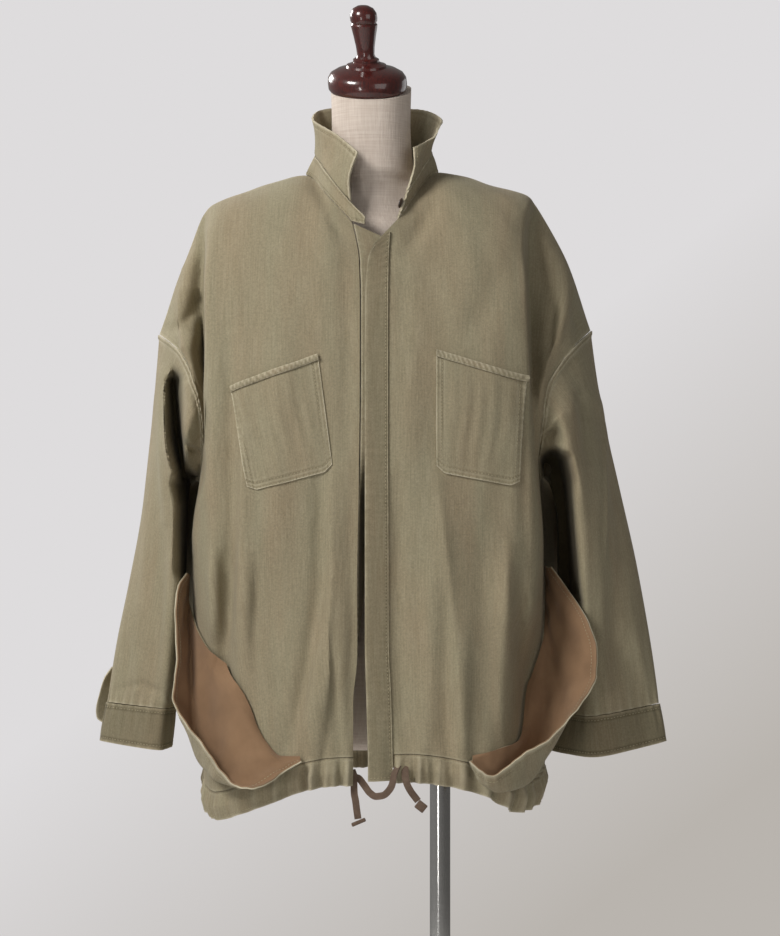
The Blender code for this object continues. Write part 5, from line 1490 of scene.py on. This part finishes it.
# ---------------------------------------------------------------- pockets and hem

def make_chest_pocket(side, surface):
    """A patch pocket on a creased front, and the slanted folded hem along its top."""
    corners = np.array(CHEST_POCKET[side], float)
    s, t = np.linspace(0, 1, 44), np.linspace(0, 1, 50)
    top = corners[0] + (corners[1] - corners[0]) * s[:, None]
    foot = corners[3] + (corners[2] - corners[3]) * s[:, None]
    clip = np.clip(np.abs(s - .5) * 2 - .8, 0, 1) / .2
    foot = foot + (top - foot) * .05 * clip[:, None]
    grid = straight_between(top, foot, t)
    here, normal = lay_on(side, grid[..., 0], grid[..., 1])
    points = rest_on(here, normal, surface, CLOTH + LAID)
    cloth = Cloth("chest_pocket_" + side, points, normal, CLOTH)
    middle = np.sin(math.pi * s)[:, None] * np.sin(math.pi * t)[None, :]
    upright = np.sin(2 * math.pi * (s[:, None] * 6.3 + .25 * np.sin(5 * t)[None, :]))
    cloth.lift(.0009 * np.clip(middle * 2, 0, 1) + .0006 * upright * middle)
    for edge, shift in (("first", .3), ("last", 1.2), ("foot", 2.2)):
        cloth.pucker(edge, .0092, .00045, .007, shift=shift)
        cloth.groove(edge, .0022, .0003, .0010)
        cloth.groove(edge, .0080, .0004, .0012)
        cloth.rub(edge, .9, .0013)
        cloth.rub(edge, .35, .0012, at=.0098)
        cloth.rub(edge, .35, .0016, at=.0050)
        cloth.stitch(edge, .0018, .0080)
    make_sheet(cloth)
    # the folded hem stands on the pocket's own top edge, rubbed into slanted ribs
    t = np.linspace(-.05, .29, 9)[None, :, None]
    strip = top[:, None] + ((foot - top) / 6)[:, None] * t
    here, normal = lay_on(side, strip[..., 0], strip[..., 1])
    room = CLOTH / 2 + LAID + HEM / 2
    points = rest_on(here, normal, surface, CLOTH + LAID + room + .0003)
    hem = Cloth("pocket_hem_" + side, points, normal, HEM)
    along, away = hem.from_edge("top")
    lean = -1 if side == "right" else 1
    ribs = np.sin(2 * math.pi * (along / .0068 + lean * away / .013
                                 + .3 * np.sin(along / .017)))
    roll = np.sin(np.pi * np.linspace(0, 1, 9))[None, :]
    hem.lift(.00075 * ribs * roll + .0016 * roll)
    # pale wear on the ribs' crests, painted shade in their troughs
    hem.wear_and_shade += .45 * np.clip(ribs, 0, 1) - .35 * np.clip(-ribs, 0, 1) + .12
    hem.rub("top", .6)
    hem.rub("foot", .6)
    hem.stitch("foot", .0017)
    make_sheet(hem)


def clear_of(points, surface, room):
    """Moves points that lie nearer than `room` to a body panel straight out from it."""
    flat = points.reshape(-1, 3).copy()
    for i, point in enumerate(flat):
        near, normal, _, far = surface.find_nearest(Vector(point))
        if near is None or far > .03:
            continue
        outward = np.array([near.x + POLE_SIDE, near.y, 0])
        normal = np.array(normal) * (1 if np.dot(np.array(normal), outward) > 0 else -1)
        gap = np.dot(point - np.array(near), normal)
        if gap < room:
            flat[i] = point + normal * (room - gap)
    return flat.reshape(points.shape)


def seat_edge(edge, surface, room):
    """Puts an edge that is sewn on a panel at `room` from the panel's middle surface, a little
    further out where it goes round the body's corner, and leaves its upper end as it is."""
    seated = edge.copy()
    for i, point in enumerate(edge):
        share = i / (len(edge) - 1)
        near, normal, _, far = surface.find_nearest(Vector(point))
        if far is not None and far < .02:
            out = point - np.array(near)
            normal = np.array(normal) * (1 if np.dot(np.array(normal), out) > 0 else -1)
            there = np.array(near) + normal * (room + .0018 * math.sin(math.pi * share))
            seated[i] += (there - point) * fade((.7 - share) / .25)
    return seated


def make_pouch(side, surface):
    """A side pouch that hangs open, and its brown lining."""
    rows = np.array(POUCH[side], float)
    stations = np.linspace(0, 1, len(rows))
    at = np.linspace(0, 1, 96)
    lines = [place(curve(np.c_[stations, rows[:, k]], at)) for k in range(3)]
    t = np.linspace(0, 1, 34)[None, :, None]
    low = 2 * lines[1] - (lines[0] + lines[2]) / 2
    points = (lines[0][:, None] * (1 - t) ** 2 + low[:, None] * 2 * t * (1 - t)
              + lines[2][:, None] * t * t)
    points = clear_of(points, surface, POUCH_ROOM)
    points[:, 0] = seat_edge(points[:, 0], surface, POUCH_SEAT)
    normals = normals_of(points) * (-1 if side == "left" else 1)
    bag = Cloth("side_pouch_" + side, points + normals * CLOTH / 2, normals, CLOTH)
    lining = Cloth("pouch_lining_" + side, points - normals * (GAP + LINING / 2), normals,
                   LINING)
    # soft slanting creases that both layers share, so that they stay a gap apart
    s, t = np.linspace(0, 1, 96)[:, None], np.linspace(0, 1, 34)[None, :]
    sway = .0012 * np.sin(2 * math.pi * (4.3 * s + 1.5 * t)) + .0009 * np.sin(
        2 * math.pi * (7.1 * s - 2.2 * t) + 1)
    hold = fade(t * 5) * fade((1 - t) * 6) * fade(s * 8) * fade((1 - s) * 8)
    rim = fade((t - .75) / .25) * np.sin(math.pi * s)
    for cloth in (bag, lining):
        cloth.lift(sway * hold + .0005 * np.sin(2 * math.pi * s * 17) * rim)
    bag.rub("foot", 1.0, .0014)
    bag.groove("foot", .0085, .0003)
    bag.pucker("foot", .012, .0003, .007, start=.0085, shift=.5)
    bag.stitch("foot", .0085, thread=1.3)
    make_sheet(bag)
    lining.groove("foot", .0085, -.0003)
    lining.rub("foot", .5, .0016)
    lining.stitch("foot", .0085, thread=.9, side=-1)
    make_sheet(lining, "plain_woven_pocketing")


def make_casing(cloths, lengths, total):
    """The gathered hem casing, from the right edge round the back to the placket's seam."""
    line = np.concatenate([cloths["right"].points[:, -1], cloths["back"].points[1:, -1],
                           cloths["left"].points[::-1][1:, -1]])
    s = np.concatenate([lengths["right"], lengths["back"][1:], lengths["left"][::-1][1:]])
    at = np.linspace(0, .975 * total, GATHERS * 8 + 1)
    top = np.stack([np.interp(at, s, line[:, c]) for c in range(3)], -1)
    step = 12
    ahead, behind = np.roll(top, -step, 0), np.roll(top, step, 0)
    run = ahead - behind
    run[:step], run[-step:] = run[step], run[-step - 1]
    run = unit(run * np.array([1, 1, 0]))
    out = np.stack([-run[:, 1], run[:, 0], 0 * run[:, 0]], -1)
    long, short = gather(at, total)
    t = np.linspace(0, 1, 14)
    sway = np.interp(t, [0, .18, .5, 1], [.1, .55, 1.3, 1.9])
    belly = np.interp(t, [0, .5, 1], [0, .003, -.003])
    points = np.repeat(top[:, None], len(t), 1)
    away = long[:, None] * .9 * sway[None] + short[:, None] * (sway * .9)[None] + belly[None]
    points += out[:, None] * away[..., None]
    points[..., 2] -= CASING_DROP * GRID * t[None] + GAP * 2 * (1 - t)[None]
    # the seam allowance stands up inside the panels' feet
    inside = CLOTH + GAP * 2
    turned_in = top - out * inside
    allowance = np.stack([turned_in + (0, 0, SEAM_ALLOWANCE), turned_in - (0, 0, .0002)], 1)
    points = np.concatenate([allowance, points], 1)
    hidden = SEAM_ALLOWANCE + inside
    t = np.concatenate([[0, 0], t])
    normals = np.repeat(out[:, None], len(t), 1)
    cloth = Cloth("hem_casing", points, normals, CLOTH)
    cloth.wear_and_shade += .28 * np.clip((long + short)[:, None] / .0022, 0, 1) * fade(t * 4)[None]
    cloth.groove("top", hidden + .0008, .0005, .0014)
    cloth.rub("top", .45, .0010, at=hidden + .0030)
    cloth.rub("foot", .7)
    cloth.stitch("top", hidden + .0036)
    cloth.stitch("foot", .0040)
    make_sheet(cloth)


def make_drawstring():
    """Three lengths of tape, which the hem casing carries, and their folded ends."""
    for side, middle, width, height, turn in TAPE_ENDS:
        bm = bmesh.new()
        bmesh.ops.create_cube(bm, size=1)
        size = Matrix.Diagonal((width, .0042, height, 1))
        bm.transform(Matrix.Translation(Vector(place(middle)))
                     @ Matrix.Rotation(math.radians(turn), 4, "Y") @ size)
        bmesh.ops.bevel(bm, geom=bm.edges[:], offset=.0012, affect="EDGES", segments=3,
                        profile=.5, material=-1)
        bm.loops.layers.uv.new("cut")
        add_piece(mesh_of(bm, f"drawstring_end_{side}_fold"),
                               "woven_cotton_tape", f"drawstring_end_{side}")
    for side, path in TAPES.items():
        path = np.asarray(path, float)
        rows = curve(np.c_[np.linspace(0, 1, len(path)), path], np.linspace(0, 1, 60))
        line = place(rows[:, :3])
        along = unit(np.gradient(line, axis=0))
        flat = unit(np.cross(along, np.array([0.0, -1.0, 0.0])))
        face = unit(np.cross(flat, along))
        roll = np.radians(rows[:, 3])[:, None]
        across = flat * np.cos(roll) + face * np.sin(roll)
        face = unit(np.cross(across, along))
        w = np.linspace(-.5, .5, 9)
        points = line[None] + across[None] * w[:, None, None] * TAPE_WIDTH
        cloth = Cloth("drawstring_" + side, points, np.repeat(face[None], 9, 0), TAPE_THICK)
        tape = cloth.make("woven_cotton_tape")


def sew():
    """Topstitching: a bead of thread for each stitch, half sunk in the cloth."""
    groups = [SEWING[k::3] for k in range(3)]
    for number, rows in enumerate(groups):
        bm = bmesh.new()
        for line, out, thread in rows:
            steps = np.linalg.norm(np.diff(line, axis=0), axis=1)
            length = np.concatenate([[0], np.cumsum(steps)])
            at = np.arange(STITCH_PITCH, length[-1] - STITCH_PITCH / 2, STITCH_PITCH)
            if not len(at):
                continue
            spots = np.stack([np.interp(at, length, line[:, c]) for c in range(3)], -1)
            ahead = np.stack([np.interp(at + .001, length, line[:, c]) for c in range(3)], -1)
            away = unit(np.stack([np.interp(at, length, out[:, c]) for c in range(3)], -1))
            along = unit(ahead - spots)
            across = np.cross(away, along)
            for p, a, b, c in zip(spots, along, across, away):
                turn = Matrix((a, b, c)).transposed().to_4x4()
                size = Matrix.Diagonal((STITCH_LONG / 2 * thread, STITCH_THICK / 2 * thread,
                                        STITCH_THICK / 2, 1))
                bmesh.ops.create_icosphere(bm, subdivisions=1, radius=1,
                                           matrix=Matrix.Translation(p) @ turn @ size)
        add_piece(mesh_of(bm, f"topstitching_{number + 1}"), "spun_polyester_thread", angle=80)


# ---------------------------------------------------------------- form and stand

def form_ring(z, half, ahead, behind, tilt, throat, around=128):
    """A level section of the dress form, in metres."""
    a = np.arange(around + 1) * 2 * math.pi / around
    power = .86
    half, ahead, behind = half - FORM_SKIN, ahead + FORM_SKIN, behind - FORM_SKIN
    x = half * np.sign(np.cos(a)) * np.abs(np.cos(a)) ** power
    y = np.sin(a)
    y = np.sign(y) * np.abs(y) ** power * np.where(y < 0, -ahead, behind)
    y -= throat * np.exp(-(x / .048) ** 2) * (y < 0)
    lean = math.radians(tilt)
    middle = (ahead + behind) / 2
    rise = (y - middle) * math.sin(lean)
    return np.stack([x - POLE_SIDE + FORM_SIDE, middle + (y - middle) * math.cos(lean),
                     z + FORM_LIFT + rise], -1)


def make_form():
    """The linen-covered torso, closed at both ends."""
    rows = np.array(FORM)
    at = np.linspace(0, len(rows) - 1, 170)
    fine = curve(np.c_[np.arange(len(rows)), rows], at)
    rings = np.array([form_ring(*row) for row in fine])
    nu, nv = rings.shape[:2]
    bm = bmesh.new()
    bmesh.ops.create_grid(bm, x_segments=nu - 1, y_segments=nv - 1, size=1)
    for vert in bm.verts:
        i, k = round((vert.co.x + 1) / 2 * (nu - 1)), round((vert.co.y + 1) / 2 * (nv - 1))
        vert.co = rings[i, k % (nv - 1)]
    bmesh.ops.remove_doubles(bm, verts=bm.verts, dist=1e-7)
    rims = [e for e in bm.edges if e.is_boundary]
    bmesh.ops.holes_fill(bm, edges=rims, sides=0)
    bmesh.ops.recalc_face_normals(bm, faces=bm.faces)
    add_piece(mesh_of(bm, "form_torso_cover"), "plain_woven_linen", "form_torso")


def turned(name, profile, finish, move=None, steps=96, angle=35):
    """A piece spun about the Z axis from its profile, moved by a matrix or a function."""
    bm = bmesh.new()
    verts = [bm.verts.new((r, 0, h)) for r, h in profile]
    edges = [bm.edges.new(pair) for pair in zip(verts, verts[1:])]
    bmesh.ops.spin(bm, geom=verts + edges, cent=(0, 0, 0), axis=(0, 0, 1), dvec=(0, 0, 0),
                   angle=2 * math.pi, steps=steps, use_merge=True, use_normal_flip=False,
                   use_duplicate=False)
    bmesh.ops.remove_doubles(bm, verts=bm.verts, dist=1e-6)
    for vert in bm.verts:
        if move:
            vert.co = move(vert.co)
    bmesh.ops.recalc_face_normals(bm, faces=bm.faces)
    return add_piece(mesh_of(bm, name + "_turned"), finish, name, angle=angle)


def make_cap():
    """The turned cap and knob on the neck's tilted axis."""
    z, _, ahead, behind, tilt, _ = FORM[-1]
    lean, middle = math.radians(tilt), (ahead + behind) / 2
    axis = np.array([0, -math.sin(lean), math.cos(lean)])

    def on_neck(co):
        x, y, h = co.x, co.y, co.z + GAP
        return (x - POLE_SIDE + FORM_SIDE - CAP_SHIFT - h * CAP_LEAN,
                middle + y * math.cos(lean) + h * axis[1],
                z + FORM_LIFT + y * math.sin(lean) + h * axis[2])

    turned("neck_cap", CAP, "varnished_mahogany", on_neck)


def make_stand():
    """The base plate, the socket and the pole."""
    turned("base_plate", BASE_PLATE, "chrome_plated_steel", steps=160)
    turned("pole_socket", POLE_SOCKET, "chrome_plated_steel")
    turned("pole", POLE, "chrome_plated_steel")


def make_button():
    """The neck's button, undone beside the collar stand."""
    turn = Vector(BUTTON_FACE).to_track_quat("Z", "Y").to_matrix().to_4x4()
    seat = Matrix.Translation(Vector(place(NECK_BUTTON))) @ turn
    turned("neck_button", BUTTON, "horn_effect_polyester", lambda co: seat @ co, steps=40)


# ---------------------------------------------------------------- studio

def add_light(name, at, aim, size, power, tint):
    """A rectangular soft light that faces its aim, in watts."""
    light = bpy.data.lights.new(name, "AREA")
    light.shape, light.size, light.size_y = "RECTANGLE", size[0], size[1]
    light.energy, light.color = power, srgb(tint)[:3]
    obj = in_scene(name, light)
    obj.location = at
    obj.rotation_euler = (Vector(aim) - Vector(at)).to_track_quat("-Z", "Y").to_euler()


def make_studio():
    """Camera at the eye point, soft light from the upper left, and a pale floor."""
    camera = bpy.data.cameras.new("camera")
    camera.lens, camera.sensor_width, camera.sensor_height = 96.9, 36, 36
    camera.sensor_fit = "AUTO"
    seat = in_scene("camera", camera)
    seat.location = (EYE_SIDE - POLE_SIDE, -EYE_FAR, EYE_UP)
    seat.rotation_euler = (math.radians(90), 0, 0)
    bpy.context.scene.camera = seat

    chest = (-.089, 0, 1.05)
    add_light("key_softbox", (-1.85, -1.8, 2.75), chest, (1.0, 1.0), 68, "#FFFDFA")
    add_light("front_fill", (2.0, -2.7, 1.7), chest, (2.0, 2.0), 15, "#FFFDFA")
    add_light("back_key", (-2.1, 1.9, 2.6), chest, (1.2, 1.2), 62, "#FFFDFA")
    add_light("back_fill", (2.4, 2.6, 1.7), chest, (2.0, 2.0), 9, "#F8F8FA")
    add_light("low_strip", (-1.2, -2.9, .5), (-.089, 0, .5), (.3, 1.0), 9, "#FFFDFA")

    world = bpy.data.worlds.new("studio")
    bpy.context.scene.world = world
    world.use_nodes = True
    tree = world.node_tree
    backdrop = tree.nodes["Background"]
    # painted shade on the paper behind: the backdrop that the camera sees is a little darker to
    # the lower right
    look = add(tree, "TexCoord").outputs["Generated"]
    slant = add(tree, "VectorMath", {0: look, 1: (1.0, 0, -1.3)},
                operation="DOT_PRODUCT").outputs["Value"]
    share = ramp(tree, slant, .0, .30)
    tree.links.new(mixed(tree, share, srgb("#DEDCDD"), srgb("#B9B4AE")), backdrop.inputs[0])
    # the room's walls are bright to the left and dim to the right
    wall = ramp(tree, add(tree, "SeparateXYZ", {0: look}).outputs[0], -1.0, .8)
    room = add(tree, "Background", {0: mixed(tree, wall, srgb("#F2F0EC"), srgb("#A9A6A2")),
                                    1: .27})
    seen = add(tree, "LightPath").outputs["Is Camera Ray"]
    both = add(tree, "MixShader", {0: seen, 1: room.outputs[0], 2: backdrop.outputs[0]})
    tree.links.new(both.outputs[0], tree.nodes["World Output"].inputs[0])

    bm = bmesh.new()
    bmesh.ops.create_circle(bm, cap_ends=True, segments=128, radius=1.9)
    mesh = mesh_of(bm, "floor")
    mesh.materials.append(painted_floor())
    in_scene("floor", mesh)
    bpy.context.scene.view_settings.view_transform = "Standard"


make_studio()
make_drawstring()
cloths, lengths, total = make_body()
surfaces = {key: surface_of(cloth.points) for key, cloth in cloths.items()}
for side in ("right", "left"):
    make_cuff(side, make_sleeve(side, cloths))
    make_chest_pocket(side, surfaces[side])
    make_pouch(side, surfaces[side])
make_cuff_lap()
make_placket(surfaces["left"])
make_button_band()
make_casing(cloths, lengths, total)
finish_body(cloths)
make_collar()
make_button()
make_form()
make_cap()
make_stand()
sew()
